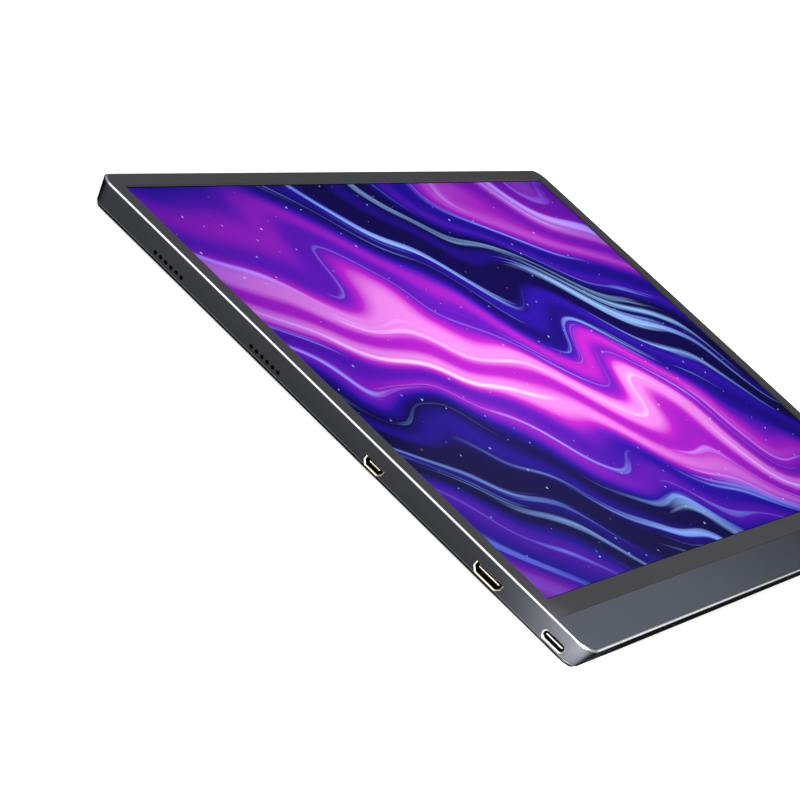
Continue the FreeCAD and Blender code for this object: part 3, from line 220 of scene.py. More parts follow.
class SocketFinish(bpy.types.PropertyGroup):
    """Sockets in the side walls."""
    # Steel and gilt are lightened copies of each plate, a painted highlight on the lips and tongue plates;
    # shell and gilt shell are darkened copies of the same plates, a painted shade inside the shells.
    steel: colour_setting("Steel colour", "Bright nickel plate of lips and tongue plates", "#F0F0EE")
    shell: colour_setting("Shell colour", "Dulled nickel plate inside the oval shells", "#4A4B4E")
    gilt: colour_setting("Gilt colour", "Gold flash on the trapezoid lips", "#FBF2D6")
    gilt_shell_painted_shade: colour_setting("Gilt shell colour", "Dulled gold flash inside the trapezoid shells",
                               "#5A4A2C")
    gold: colour_setting("Contact colour", "Gold-flashed contact strips", "#EBC673")
    tongue: colour_setting("Tongue colour", "Moulded tongues", "#1B1A1B")
    draw_spacing: length_setting("Draw spacing", "Distance between the lines of deep drawing", 0.3 * MM)
    draw_length: length_setting("Draw length", "Length of a line of deep drawing", 6 * MM)
    bright: share_setting("Bright roughness", "Dullness of the bright plate", 0.3)
    dull: share_setting("Dull roughness", "Dullness of the plate inside the shells", 0.4)
    oval_width: length_setting("Oval width", "Width of an oval shell", 9.2 * MM)
    oval_height: length_setting("Oval height", "Height of an oval shell", 3.3 * MM)
    oval_level: length_setting("Oval level", "Height of an oval socket's middle", 3.3 * MM)
    oval_blade: length_setting("Oval blade", "Width of an oval socket's tongue", 6.7 * MM)
    oval_blade_height: length_setting("Oval blade height", "Thickness of that tongue", 0.7 * MM)
    oval_pitch: length_setting("Oval pitch", "Distance between that tongue's strips", 0.5 * MM)
    video_width: length_setting("Video width", "Width of the video socket's shell", 11.6 * MM)
    video_height: length_setting("Video height", "Height of the video socket's shell", 3.5 * MM)
    video_corner: length_setting("Video corner", "Cut corner of the video socket's shell", 1.6 * MM)
    video_level: length_setting("Video level", "Height of the video socket's middle", 3.15 * MM)
    video_blade: length_setting("Video blade", "Width of the video socket's tongue", 8.6 * MM)
    video_blade_level: length_setting("Video blade level", "Height of that tongue's middle", 3.6 * MM)
    video_blade_height: length_setting("Video blade height", "Thickness of that tongue", 0.6 * MM)
    video_strips: count_setting("Video strips", "Strips on the video tongue's top", 9)
    device_width: length_setting("Device width", "Width of the device socket's shell", 7.9 * MM)
    device_height: length_setting("Device height", "Height of the device socket's shell", 3.0 * MM)
    device_corner: length_setting("Device corner", "Cut corner of the device socket's shell", 1.3 * MM)
    device_level: length_setting("Device level", "Height of the device socket's middle", 2.75 * MM)
    device_blade: length_setting("Device blade", "Width of the device socket's tongue", 4.6 * MM)
    device_blade_level: length_setting("Device blade level", "Height of that tongue's middle", 3.1 * MM)
    device_blade_height: length_setting("Device blade height", "Thickness of that tongue", 0.5 * MM)
    device_strips: count_setting("Device strips", "Strips on the device tongue's top", 5)
    lip_width: length_setting("Lip width", "Width of a shell's flared lip", 0.37 * MM)
    lip_height: length_setting("Lip height", "How far a flared lip stands off its shell", 0.3 * MM)
    lip_sink: length_setting("Lip sink", "How far a flared lip reaches into its shell", 0.06 * MM)
    lip_slope: length_setting("Lip slope", "Cut of the slope inside a flared lip", 0.3 * MM)
    plate_depth: length_setting("Plate depth", "How far a tongue's steel plate shows in front", 0.12 * MM)
    plate_height: length_setting("Plate height", "Thickness of a tongue's steel plate", 0.36 * MM)
    plate_round: length_setting("Plate round", "Round on the steel plate's edges", 0.05 * MM)
    strips: count_setting("Strips", "Strips on one face of an oval socket's tongue", 12)
    strip_length: length_setting("Strip length", "Length of a contact strip", 3.1 * MM)
    strip_back: length_setting("Strip back", "How far a strip starts behind the tongue's tip", 0.3 * MM)
    strip_width: length_setting("Strip width", "Width of an oval socket's strip", 0.26 * MM)
    strip_height: length_setting("Strip height", "Thickness of an oval socket's strip", 0.03 * MM)
    broad_width: length_setting("Broad width", "Width of a trapezoid socket's strip", 0.36 * MM)
    broad_height: length_setting("Broad height", "Thickness of a trapezoid socket's strip", 0.1 * MM)


class KeyFinish(bpy.types.PropertyGroup):
    """Rocker keys and what they press."""
    colour: colour_setting("Key colour", "Satin anodised bar", "#B6B8BC")
    nylon: colour_setting("Bracket colour", "Moulded bracket", "#1C1C1E")


class MarkFinish(bpy.types.PropertyGroup):
    """Printed signs on the right wall."""
    ink: colour_setting("Ink", "Pad-printed ink", "#F1F1F2")
    line: length_setting("Line", "Width of a printed line", 0.32 * MM)
    radius: length_setting("Radius", "Radius of a round sign", 1.25 * MM)
    film: length_setting("Film", "Height of the ink over the wall", 0.02 * MM)
    wall_foot: length_setting("Wall foot", "Half width of the case at the wall's foot", 178.45 * MM)
    wall_head: length_setting("Wall head", "Half width of the case at the wall's head", 180.8 * MM)
    foot_level: length_setting("Foot level", "Height of the wall's foot", 1.2 * MM)
    head_level: length_setting("Head level", "Height of the wall's head", 9.0 * MM)


class StageLook(bpy.types.PropertyGroup):
    """Floor, lights and camera."""
    floor_colour: colour_setting("Floor colour", "Pale studio floor", "#F4F4F4")
    floor_size: length_setting("Floor size", "Side of the floor", 12.0)
    floor_glow: share_setting("Floor glow", "Light that the floor adds for the viewer", 0.56)
    floor_mirror: share_setting("Floor mirror", "Light that the floor adds in reflections", 0.46)
    card_colour: colour_setting("Card colour", "Dark card beside the lower wall", "#656565")
    air_colour: colour_setting("Air colour", "Even light all round", "#FFFFFF")
    air: share_setting("Air", "Level of the even light all round", 0.48)
    flag: share_setting("Flag", "Level inside the dark patch behind the monitor", 0.05)
    lens: bpy.props.FloatProperty(name="Lens", description="Focal length in millimetres", min=1,
                                  default=132.17)


SETTINGS = {
    "monitor_case": CaseFinish,
    "monitor_front": FrontFinish,
    "monitor_screen": ScreenFinish,
    "monitor_sockets": SocketFinish,
    "monitor_keys": KeyFinish,
    "monitor_marks": MarkFinish,
    "monitor_stage": StageLook,
}


def node(tree, kind, inputs=None, stops=None, **settings):
    """Add one shader node with its settings, ramp stops and input values or links."""
    made = tree.nodes.new(kind)
    for name, value in settings.items():
        setattr(made, name, value)
    for name, value in (inputs or {}).items():
        socket = made.inputs[name]
        if isinstance(value, bpy.types.NodeSocket):
            tree.links.new(value, socket)
        else:
            socket.default_value = value
    if stops:
        points = made.color_ramp.elements
        while len(points) < len(stops):
            points.new(1.0)
        for point, (position, colour) in zip(points, stops):
            point.position = position
            point.color = colour
    return made


def start_material(name):
    """Empty material, its tree, and its object coordinates."""
    material = bpy.data.materials.new(name)
    material.use_nodes = True
    tree = material.node_tree
    tree.nodes.clear()
    return material, tree, node(tree, "ShaderNodeTexCoord").outputs["Object"]


def end_material(material, inputs):
    """Close a material with one Principled shader."""
    tree = material.node_tree
    shader = node(tree, "ShaderNodeBsdfPrincipled", inputs)
    node(tree, "ShaderNodeOutputMaterial", {"Surface": shader.outputs["BSDF"]})
    return material


def shades(tree, factor, colour, spread):
    """A colour that wanders a little lighter and darker with a pattern."""
    dark = tuple(c * (1 - spread) for c in colour)
    light = tuple(min(1.0, c * (1 + spread)) for c in colour)
    return node(tree, "ShaderNodeValToRGB", {"Fac": factor}, stops=[
        (PATTERN_LOW, paint(dark)), (PATTERN_HIGH, paint(light))]).outputs["Color"]


def moulded_plastic(name, colour, grain, roughness, depth=0.25, gloss=0.5, patchy=0.06):
    """Injection-moulded plastic: spark-eroded mould grain, faint cloudy tone, dull sheen."""
    material, tree, coords = start_material(name)
    fine = node(tree, "ShaderNodeTexNoise", {
        "Vector": coords, "Scale": 1 / grain, "Detail": 3.0}).outputs["Fac"]
    cloud = node(tree, "ShaderNodeTexNoise", {
        "Vector": coords, "Scale": 1 / (CLOUD_GRAINS * grain), "Detail": 2.0}).outputs["Fac"]
    dull = node(tree, "ShaderNodeMapRange", {
        "Value": fine, **MIDDLE_HALF, "To Min": roughness - patchy, "To Max": roughness + patchy})
    relief = node(tree, "ShaderNodeBump", {"Height": fine, "Strength": depth, "Distance": grain / 6})
    return end_material(material, {
        "Base Color": shades(tree, cloud, colour, spread=0.08),
        "Roughness": dull.outputs["Result"],
        "Normal": relief.outputs["Normal"],
        "IOR": 1.5,
        "Specular IOR Level": gloss,
    })


def drawn_metal(name, colour, spacing, length, roughness, turn=0.0, grazing=1.0, patchy=0.045, streak=0.1,
                depth=0.18):
    """Rolled, drawn or brushed metal: fine straight lines one way under a soft gloss."""
    material, tree, coords = start_material(name)
    lay = node(tree, "ShaderNodeMapping", {"Vector": coords, "Rotation": (0, 0, turn),
                                           "Scale": (1 / length, 1 / spacing, 1 / spacing)})
    lines = node(tree, "ShaderNodeTexNoise", {
        "Vector": lay.outputs["Vector"], "Scale": 1.0, "Detail": 4.0}).outputs["Fac"]
    cloud = node(tree, "ShaderNodeTexNoise", {
        "Vector": coords, "Scale": 1 / (CLOUD_LINES * spacing), "Detail": 2.0}).outputs["Fac"]
    dull = node(tree, "ShaderNodeMapRange", {
        "Value": cloud, **MIDDLE_HALF, "To Min": roughness - patchy, "To Max": roughness + patchy})
    relief = node(tree, "ShaderNodeBump", {"Height": lines, "Strength": depth, "Distance": spacing / 10})
    return end_material(material, {
        "Base Color": shades(tree, lines, colour, streak),
        "Metallic": 1.0,
        "Specular Tint": paint((grazing,) * 3),
        "Roughness": dull.outputs["Result"],
        "Normal": relief.outputs["Normal"],
    })


def clear_sheet(name, colour, roughness, ior, ripple=18 * MM, patchy=0.03):
    """Glass or acrylic sheet: clear body, faint waviness from rolling."""
    material, tree, coords = start_material(name)
    wave = node(tree, "ShaderNodeTexNoise", {
        "Vector": coords, "Scale": 1 / ripple, "Detail": 1.0}).outputs["Fac"]
    dull = node(tree, "ShaderNodeMapRange", {
        "Value": wave, **MIDDLE_HALF, "To Min": roughness, "To Max": roughness + patchy})
    relief = node(tree, "ShaderNodeBump", {"Height": wave, "Strength": 0.05, "Distance": 0.02 * MM})
    return end_material(material, {
        "Base Color": shades(tree, wave, colour, spread=0.03),
        "Roughness": dull.outputs["Result"],
        "Transmission Weight": 0.85,
        "IOR": ior,
        "Normal": relief.outputs["Normal"],
    })


def foam(name, colour, cell):
    """Closed-cell foam: small burst cells on a cut face."""
    material, tree, coords = start_material(name)
    cells = node(tree, "ShaderNodeTexVoronoi", {"Vector": coords, "Scale": 1 / cell}).outputs["Distance"]
    dull = node(tree, "ShaderNodeMapRange", {
        "Value": cells, **MIDDLE_HALF, "To Min": 0.8, "To Max": 0.95})
    relief = node(tree, "ShaderNodeBump", {"Height": cells, "Strength": 0.4, "Distance": cell / 4})
    return end_material(material, {
        "Base Color": shades(tree, cells, colour, spread=0.2),
        "Roughness": dull.outputs["Result"],
        "Normal": relief.outputs["Normal"],
    })


def laminate(name, colour, track, pitch, copper=0.035 * MM):
    """Glass-fibre laminate under solder mask: raised copper tracks show as lighter lines."""
    material, tree, coords = start_material(name)
    tracks = node(tree, "ShaderNodeTexBrick", {
        "Vector": coords, "Scale": 1 / pitch, "Mortar Size": 0.06, "Color1": paint(colour),
        "Color2": paint(tuple(0.75 * c for c in colour)), "Mortar": paint(track)})
    dull = node(tree, "ShaderNodeMapRange", {
        "Value": tracks.outputs["Fac"], **MIDDLE_HALF, "To Min": 0.3, "To Max": 0.45})
    relief = node(tree, "ShaderNodeBump", {
        "Height": tracks.outputs["Fac"], "Strength": 0.3, "Distance": copper})
    return end_material(material, {
        "Base Color": tracks.outputs["Color"],
        "Roughness": dull.outputs["Result"],
        "IOR": 1.5,
        "Normal": relief.outputs["Normal"],
    })


def blasted_case(look):
    """Bead-blasted, dark anodised aluminium: even satin pits, with a bright diamond-cut rim
    and a thin lighter line on the edge over the back chamfer, partly burnished wear and partly painted
    highlight."""
    material, tree, coords = start_material("bead_blasted_anodised_aluminium")
    # Real pits are near 0.1 mm; they are drawn as coarse as they need to show.
    pits = node(tree, "ShaderNodeTexNoise", {
        "Vector": coords, "Scale": 1 / look.blast_grain, "Detail": 3.0}).outputs["Fac"]
    cloud = node(tree, "ShaderNodeTexNoise", {
        "Vector": coords, "Scale": 1 / look.cloud, "Detail": 2.0}).outputs["Fac"]
    height = node(tree, "ShaderNodeSeparateXYZ", {"Vector": coords}).outputs["Z"]
    rim = node(tree, "ShaderNodeMapRange", {
        "Value": height, "From Min": look.rim_low, "From Max": look.rim_high}).outputs["Result"]
    # Lighter line along the back chamfer's edge: partly burnished wear, partly painted highlight.
    offset = node(tree, "ShaderNodeMath", {0: height, 1: look.foot_edge}, operation="SUBTRACT")
    away = node(tree, "ShaderNodeMath", {0: offset.outputs[0]}, operation="ABSOLUTE")
    worn_and_highlit = node(tree, "ShaderNodeMapRange", {
        "Value": away.outputs[0], "From Min": look.edge_core, "From Max": look.edge_reach,
        "To Min": look.edge_wear_and_highlight, "To Max": 0.0})
    bright = node(tree, "ShaderNodeMath", {0: rim, 1: worn_and_highlit.outputs["Result"]}, operation="MAXIMUM")
    body = shades(tree, cloud, look.colour, spread=0.1)
    colour = node(tree, "ShaderNodeMix", {0: bright.outputs[0], 6: body, 7: paint(look.rim_colour)},
                  data_type="RGBA")
    dull = node(tree, "ShaderNodeMapRange", {
        "Value": pits, **MIDDLE_HALF, "To Min": look.roughness - 0.05, "To Max": look.roughness + 0.06})
    gloss = node(tree, "ShaderNodeMix", {0: rim, 2: dull.outputs["Result"], 3: look.rim_roughness})
    relief = node(tree, "ShaderNodeBump", {
        "Height": pits, "Strength": 0.12, "Distance": look.blast_grain / 8})
    return end_material(material, {
        "Base Color": colour.outputs[2],
        "Metallic": 1.0,
        "Specular Tint": paint((look.grazing,) * 3),
        "Roughness": gloss.outputs[0],
        "Normal": relief.outputs["Normal"],
    })


def ribbon_picture(tree, place, look):
    """Bent ribbons of light with pleats and thin pale streaks."""
    bend = node(tree, "ShaderNodeTexNoise", {"Vector": place, "Scale": 1 / look.fold, "Detail": 1.0,
                                             "Distortion": 0.4})
    bent = node(tree, "ShaderNodeVectorMath", {0: bend.outputs["Color"], 1: (look.sway, look.sway, 0),
                                               2: place}, operation="MULTIPLY_ADD").outputs["Vector"]
    turned = node(tree, "ShaderNodeMapping", {
        "Vector": bent, "Rotation": (0, 0, look.slant)}).outputs["Vector"]
    # A band wave repeats every two pi over twenty times its scale.
    ribbons = node(tree, "ShaderNodeTexWave", {
        "Vector": turned, "Scale": 2 * math.pi / (20 * look.ribbon), "Distortion": 0.0})
    pleats = node(tree, "ShaderNodeTexWave", {
        "Vector": turned, "Scale": 2 * math.pi / (20 * look.pleat), "Distortion": 4.0, "Detail": 1.0,
        "Detail Scale": 0.3})
    pleated = node(tree, "ShaderNodeMath", {0: pleats.outputs["Fac"], 1: PLEAT_SHARE, 2: PLEAT_SHIFT},
                   operation="MULTIPLY_ADD")
    folded = node(tree, "ShaderNodeMath", {0: ribbons.outputs["Fac"], 1: RIBBON_SHARE,
                                           2: pleated.outputs[0]}, operation="MULTIPLY_ADD")
    light = node(tree, "ShaderNodeValToRGB", {"Fac": folded.outputs[0]}, stops=[
        (position, paint(getattr(look, name))) for name, position in LIGHT_STOPS.items()])
    comb = node(tree, "ShaderNodeMapping", {
        "Vector": turned, "Scale": (1 / look.hair_width, 1 / look.hair_length, 0)})
    hair = node(tree, "ShaderNodeTexNoise", {"Vector": comb.outputs["Vector"], "Scale": 1.0, "Detail": 3.0})
    streak = node(tree, "ShaderNodeMapRange", {"Value": hair.outputs["Fac"], **STREAK_RANGE})
    streaked = node(tree, "ShaderNodeMix", {0: streak.outputs["Result"], 6: light.outputs["Color"],
                                            7: paint(look.pale)}, data_type="RGBA", blend_type="ADD")
    return streaked.outputs[2]


def speck_light(tree, place, look):
    """Strength of small round specks, one at most in a cell."""
    cells = node(tree, "ShaderNodeTexVoronoi", {"Vector": place, "Scale": 1 / look.speck},
                 voronoi_dimensions="2D")
    chance = node(tree, "ShaderNodeSeparateColor", {"Color": cells.outputs["Color"]})
    reach = node(tree, "ShaderNodeMapRange", {
        "Value": chance.outputs["Red"], "From Min": SPECK_FREE, "From Max": 1.0, "To Min": 0.0,
        "To Max": SPECK_REACH})
    inside = node(tree, "ShaderNodeMath", {0: cells.outputs["Distance"], 1: reach.outputs["Result"]},
                  operation="LESS_THAN")
    glint = node(tree, "ShaderNodeMath", {0: inside.outputs[0], 1: chance.outputs["Green"]},
                 operation="MULTIPLY")
    return glint.outputs[0]


def lit_film(look):
    """Anti-glare polariser over a lit panel: deep even colour under a dull, faint reflection.
    The picture is a plain pattern of bent ribbons of light with specks."""
    material, tree, coords = start_material("anti_glare_polariser_lit")
    place = node(tree, "ShaderNodeMapping", {
        "Vector": coords, "Location": (0, -look.lit_middle, 0)}).outputs["Vector"]
    share = node(tree, "ShaderNodeVectorMath", {
        0: place, 1: (2 / look.lit_width, 2 / look.lit_height, 0)}, operation="MULTIPLY").outputs["Vector"]
    radius = node(tree, "ShaderNodeVectorMath", {0: share}, operation="LENGTH").outputs["Value"]
    edge = node(tree, "ShaderNodeMapRange", {"Value": radius, **SHADE_RANGE})
    shaded = node(tree, "ShaderNodeMix", {
        0: edge.outputs["Result"], 6: ribbon_picture(tree, place, look), 7: paint(look.edge_tint)},
        data_type="RGBA", blend_type="MULTIPLY")
    specked = node(tree, "ShaderNodeMix", {
        0: speck_light(tree, place, look), 6: shaded.outputs[2], 7: paint(look.pale)}, data_type="RGBA")
    spot = node(tree, "ShaderNodeSeparateXYZ", {"Vector": share})
    across = node(tree, "ShaderNodeMath", {0: spot.outputs["X"]}, operation="ABSOLUTE")
    along = node(tree, "ShaderNodeMath", {0: spot.outputs["Y"]}, operation="ABSOLUTE")
    far = node(tree, "ShaderNodeMath", {0: across.outputs[0], 1: along.outputs[0]}, operation="MAXIMUM")
    lit = node(tree, "ShaderNodeMath", {0: far.outputs[0], 1: 1.0}, operation="LESS_THAN")
    glow = node(tree, "ShaderNodeMix", {0: lit.outputs[0], 6: paint(linear("#000000")),
                                        7: specked.outputs[2]}, data_type="RGBA")
    # Real anti-glare grain is near 0.02 mm; it is drawn as coarse as it needs to show.
    grain = node(tree, "ShaderNodeTexNoise", {
        "Vector": coords, "Scale": 1 / look.grain, "Detail": 2.0}).outputs["Fac"]
    dull = node(tree, "ShaderNodeMapRange", {
        "Value": grain, **MIDDLE_HALF, "To Min": 0.18, "To Max": 0.22})
    relief = node(tree, "ShaderNodeBump", {"Height": grain, "Strength": 0.04, "Distance": 0.02 * MM})
    return end_material(material, {
        "Base Color": shades(tree, grain, look.face, spread=0.15),
        "Roughness": dull.outputs["Result"],
        "IOR": 1.5,
        "Specular IOR Level": look.gloss,
        "Emission Color": glow.outputs[2],
        "Emission Strength": look.brightness,
        "Normal": relief.outputs["Normal"],
    })


def dress(material, *names):
    """Give CAD nodes their finish."""
    for name in names:
        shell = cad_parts[name]
        if shell.material_slots:
            for held in shell.material_slots:
                held.material = material
        else:
            shell.data.materials.append(material)


def new_piece(name, bm, material, body):
    """Finish a mesh piece that rides on a body of the frame."""
    bmesh.ops.recalc_face_normals(bm, faces=bm.faces)
    mesh = bpy.data.meshes.new(name)
    bm.to_mesh(mesh)
    bm.free()
    mesh.materials.append(material)
    piece = bpy.data.objects.new(name, mesh)
    bpy.context.scene.collection.objects.link(piece)
    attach(piece, body)


def add_block(bm, middle, size, place=Matrix.Identity(4)):
    """Box of a given size round a middle point, in a local frame."""
    grow = Matrix.Diagonal((*size, 1.0))
    bmesh.ops.create_cube(bm, size=1.0, matrix=place @ Matrix.Translation(middle) @ grow)


def add_ring(bm, radius, line, low, high, place):
    """Flat printed ring: a small rectangle spun about the local Z axis."""
    near, far = radius - line / 2, radius + line / 2
    corners = [bm.verts.new((x, 0, z)) for x, z in ((near, low), (far, low), (far, high), (near, high))]
    sides = [bm.edges.new((corners[i], corners[(i + 1) % len(corners)])) for i in range(len(corners))]
    known = set(bm.verts) - set(corners)
    bmesh.ops.spin(bm, geom=corners + sides, cent=(0, 0, 0), axis=(0, 0, 1), angle=2 * math.pi,
                   steps=RING_STEPS, use_merge=True)
    fresh = [vert for vert in bm.verts if vert not in known]
    bmesh.ops.remove_doubles(bm, verts=fresh, dist=line / 100)
    fresh = [vert for vert in bm.verts if vert not in known]
    bmesh.ops.transform(bm, matrix=place, verts=fresh)


def oval_outline(width, height):
    """Points of a bar with half-round ends."""
    radius = height / 2
    turns = [math.pi * (step / END_STEPS - 0.5) for step in range(END_STEPS + 1)]
    end = [(width / 2 - radius + radius * math.cos(turn), radius * math.sin(turn)) for turn in turns]
    return end + [(-y, -z) for y, z in end]


def trapezoid_outline(width, height, corner):
    """Points of a bar with its two lower corners cut at 45 degrees."""
    side, high = width / 2, height / 2
    foot, knee = side - corner, high - corner
    return [(-foot, -high), (foot, -high), (side, -knee), (side, high), (-side, high), (-side, -knee)]


def mouth_place(name, side):
    """Outermost point of a socket piece, at the middle of its width and on the frame's ground level."""
    low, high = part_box(name)
    return Vector((high.x if side == RIGHT else low.x, (low.y + high.y) / 2, 0))


def add_lip(bm, shell, side, level, look, outline):
    """Flared lip on a shell's mouth: its outline as a plate, opened by an inset, raised, and cut to a
    slope on its inner edge."""
    middle = mouth_place(shell, side) + Vector((-side * look.lip_sink, 0, level))
    plate = bm.faces.new([bm.verts.new(middle + Vector((0, y, z))) for y, z in outline])
    plate.normal_update()
    border = bmesh.ops.inset_region(bm, faces=[plate], thickness=look.lip_width, use_boundary=True,
                                    use_even_offset=True)
    bmesh.ops.delete(bm, geom=[plate], context="FACES_ONLY")
    raised = bmesh.ops.extrude_face_region(bm, geom=border["faces"])
    front = {item for item in raised["geom"] if isinstance(item, bmesh.types.BMVert)}
    bmesh.ops.translate(bm, vec=(side * (look.lip_sink + look.lip_height), 0, 0), verts=list(front))
    bmesh.ops.recalc_face_normals(bm, faces=bm.faces)
    inner_edges = []
    for edge in bm.edges:
        if front.issuperset(edge.verts):
            wall = min(edge.link_faces, key=lambda face: abs(face.normal.x))
            faces_in = wall.normal.dot(middle - wall.calc_center_median()) > 0
            if faces_in and abs(wall.normal.x) < UPRIGHT:
                inner_edges.append(edge)
    bmesh.ops.bevel(bm, geom=inner_edges, offset=look.lip_slope, segments=1, profile=0.5, affect="EDGES",
                    material=-1)


def add_plate(bm, tongue, side, level, width, look):
    """Front edge of the steel plate inside a tongue."""
    tip = mouth_place(tongue, side)
    add_block(bm, tip + Vector((side * look.plate_depth / 2, 0, level)),
              (look.plate_depth, width, look.plate_height))


def add_strips(bm, tongue, side, level, size, pitch, count, faces, look):
    """Row of contact strips on a tongue, whose faces are given as up or down and a height off its level."""
    tip = mouth_place(tongue, side)
    width, height = size
    x = tip.x - side * (look.strip_back + look.strip_length / 2)
    for index in range(count):
        y = tip.y + (index - (count - 1) / 2) * pitch
        for face, surface in faces:
            add_block(bm, (x, y, level + face * (surface + height / 2)), (look.strip_length, width, height))


def wall_place(look, y, level):
    """Frame on the right wall: along the case, up the slope, and out of the wall."""
    lean = (look.wall_head - look.wall_foot) / (look.head_level - look.foot_level)
    up = Vector((lean, 0, 1)).normalized()
    along = Vector((0, 1, 0))
    out = along.cross(up)
    spot = Vector((look.wall_foot + (level - look.foot_level) * lean, y, level))
    return Matrix.Translation(spot) @ Matrix((along, up, out)).transposed().to_4x4()


class MONITOR_OT_case(bpy.types.Operator):
    """Finish the machined case"""
    bl_idname = "monitor.case"
    bl_label = "Case"

    def execute(self, context):
        dress(blasted_case(context.scene.monitor_case), "rear_shell")
        return {"FINISHED"}


class MONITOR_OT_front(bpy.types.Operator):
    """Finish the bezel, the strip below the screen and what holds them"""
    bl_idname = "monitor.front"
    bl_label = "Front"

    def execute(self, context):
        look = context.scene.monitor_front
        # Real mould grain and brush lines are near 0.1 mm; they are drawn as coarse as they need to show.
        dress(moulded_plastic("moulded_abs_bezel", look.bezel_colour, look.bezel_grain, roughness=0.5,
                              gloss=0.25), "front_bezel")
        dress(drawn_metal("brushed_anodised_strip", look.strip_colour, look.brush_spacing,
                          look.brush_length, roughness=0.28, grazing=0.5, patchy=0.008, streak=0.04,
                          depth=0.06), "chin_strip")
        dress(foam("acrylic_foam_tape", linear("#141414"), cell=0.4 * MM), "chin_tape", "bezel_tape",
              "panel_tapes")
        dress(foam("closed_cell_foam", linear("#101010"), cell=0.5 * MM), "panel_gasket", "speaker_gaskets")
        return {"FINISHED"}


class MONITOR_OT_screen(bpy.types.Operator):
    """Finish the screen's face, its glass and the light layers behind it"""
    bl_idname = "monitor.screen"
    bl_label = "Screen"

    def execute(self, context):
        dress(lit_film(context.scene.monitor_screen), "front_polariser")
        dress(clear_sheet("drawn_panel_glass", linear("#DDE6E4"), roughness=0.02, ior=1.52),
              "colour_filter_glass", "tft_glass")
        dress(clear_sheet("cast_acrylic", linear("#F0F2F2"), roughness=0.06, ior=1.49), "light_guide",
              "rear_polariser", "diffuser_film", "prism_films")
        dress(moulded_plastic("white_reflector_film", linear("#F2F2F0"), grain=0.8 * MM, roughness=0.35,
                              depth=0.05), "reflector_sheet")
        dress(moulded_plastic("moulded_panel_frame", linear("#E9E9E6"), grain=0.6 * MM, roughness=0.5),
              "panel_mould_frame")
        dress(drawn_metal("rolled_tray_sheet", linear("#B9BABC"), spacing=0.6 * MM, length=60 * MM,
                          roughness=0.35), "panel_tray")
        return {"FINISHED"}


class MONITOR_OT_sockets(bpy.types.Operator):
    """Finish the four sockets and add their lips, tongue plates and contact strips"""
    bl_idname = "monitor.sockets"
    bl_label = "Sockets"

    def execute(self, context):
        look = context.scene.monitor_sockets
        lines = (look.draw_spacing, look.draw_length)
        # Each plate comes as a lighter copy for lips and tongue plates, painted highlight, and a darker
        # copy inside the shells, painted shade.
        steel = drawn_metal("deep_drawn_nickel_painted_highlight", look.steel, *lines, look.bright)
        dress(steel, "shield_can")
        dress(drawn_metal("nickel_steel_painted_shade", look.shell, *lines, look.dull),
              *(f"oval_socket_shell_{name}" for name in OVAL_SIDES))
        gilt = drawn_metal("deep_drawn_gilt_painted_highlight", look.gilt, *lines, look.bright)
        dress(drawn_metal("gilt_steel_painted_shade", look.gilt_shell_painted_shade, *lines, look.dull), "video_socket_shell",
              "device_socket_shell")
        gold = drawn_metal("stamped_gold_flash", look.gold, spacing=0.1 * MM, length=2 * MM, roughness=0.25)
        dress(gold, "video_socket_contacts", "device_socket_contacts")
        dress(moulded_plastic("moulded_socket_tongue", look.tongue, grain=0.3 * MM, roughness=0.45,
                              depth=0.1), *(f"oval_socket_tongue_{name}" for name in OVAL_SIDES),
              "video_socket_tongue", "device_socket_tongue")
        self.add_lips(look, steel, gilt)
        self.add_plates(look, steel)
        self.add_contacts(look, gold)
        return {"FINISHED"}

    def add_lips(self, look, steel, gilt):
        bm = bmesh.new()
        for name, side in OVAL_SIDES.items():
            add_lip(bm, f"oval_socket_shell_{name}", side, look.oval_level, look,
                    oval_outline(look.oval_width, look.oval_height))
        new_piece("oval_socket_lips", bm, steel, CASE_BODY)
        bm = bmesh.new()
        add_lip(bm, "video_socket_shell", LEFT, look.video_level, look,
                trapezoid_outline(look.video_width, look.video_height, look.video_corner))
        add_lip(bm, "device_socket_shell", LEFT, look.device_level, look,
                trapezoid_outline(look.device_width, look.device_height, look.device_corner))
        new_piece("trapezoid_socket_lips", bm, gilt, CASE_BODY)

    def add_plates(self, look, steel):
        bm = bmesh.new()
        for name, side in OVAL_SIDES.items():
            add_plate(bm, f"oval_socket_tongue_{name}", side, look.oval_level, look.oval_blade, look)
        add_plate(bm, "video_socket_tongue", LEFT, look.video_blade_level, look.video_blade, look)
        add_plate(bm, "device_socket_tongue", LEFT, look.device_blade_level, look.device_blade, look)
        bmesh.ops.bevel(bm, geom=bm.edges[:], offset=look.plate_round, segments=2, profile=0.5,
                        affect="EDGES", material=-1)
        new_piece("socket_tongue_plates", bm, steel, CASE_BODY)

    def add_contacts(self, look, gold):
        thin = (look.strip_width, look.strip_height)
        broad = (look.broad_width, look.broad_height)
        both = [(-1, look.oval_blade_height / 2), (1, look.oval_blade_height / 2)]
        bm = bmesh.new()
        for name, side in OVAL_SIDES.items():
            add_strips(bm, f"oval_socket_tongue_{name}", side, look.oval_level, thin, look.oval_pitch,
                       look.strips, both, look)
        new_piece("oval_socket_strips", bm, gold, CASE_BODY)
        bm = bmesh.new()
        add_strips(bm, "video_socket_tongue", LEFT, look.video_blade_level, broad,
                   look.video_blade / look.video_strips, look.video_strips,
                   [(1, look.video_blade_height / 2)], look)
        add_strips(bm, "device_socket_tongue", LEFT, look.device_blade_level, broad,
                   look.device_blade / look.device_strips, look.device_strips,
                   [(1, look.device_blade_height / 2)], look)
        new_piece("trapezoid_socket_strips", bm, gold, CASE_BODY)


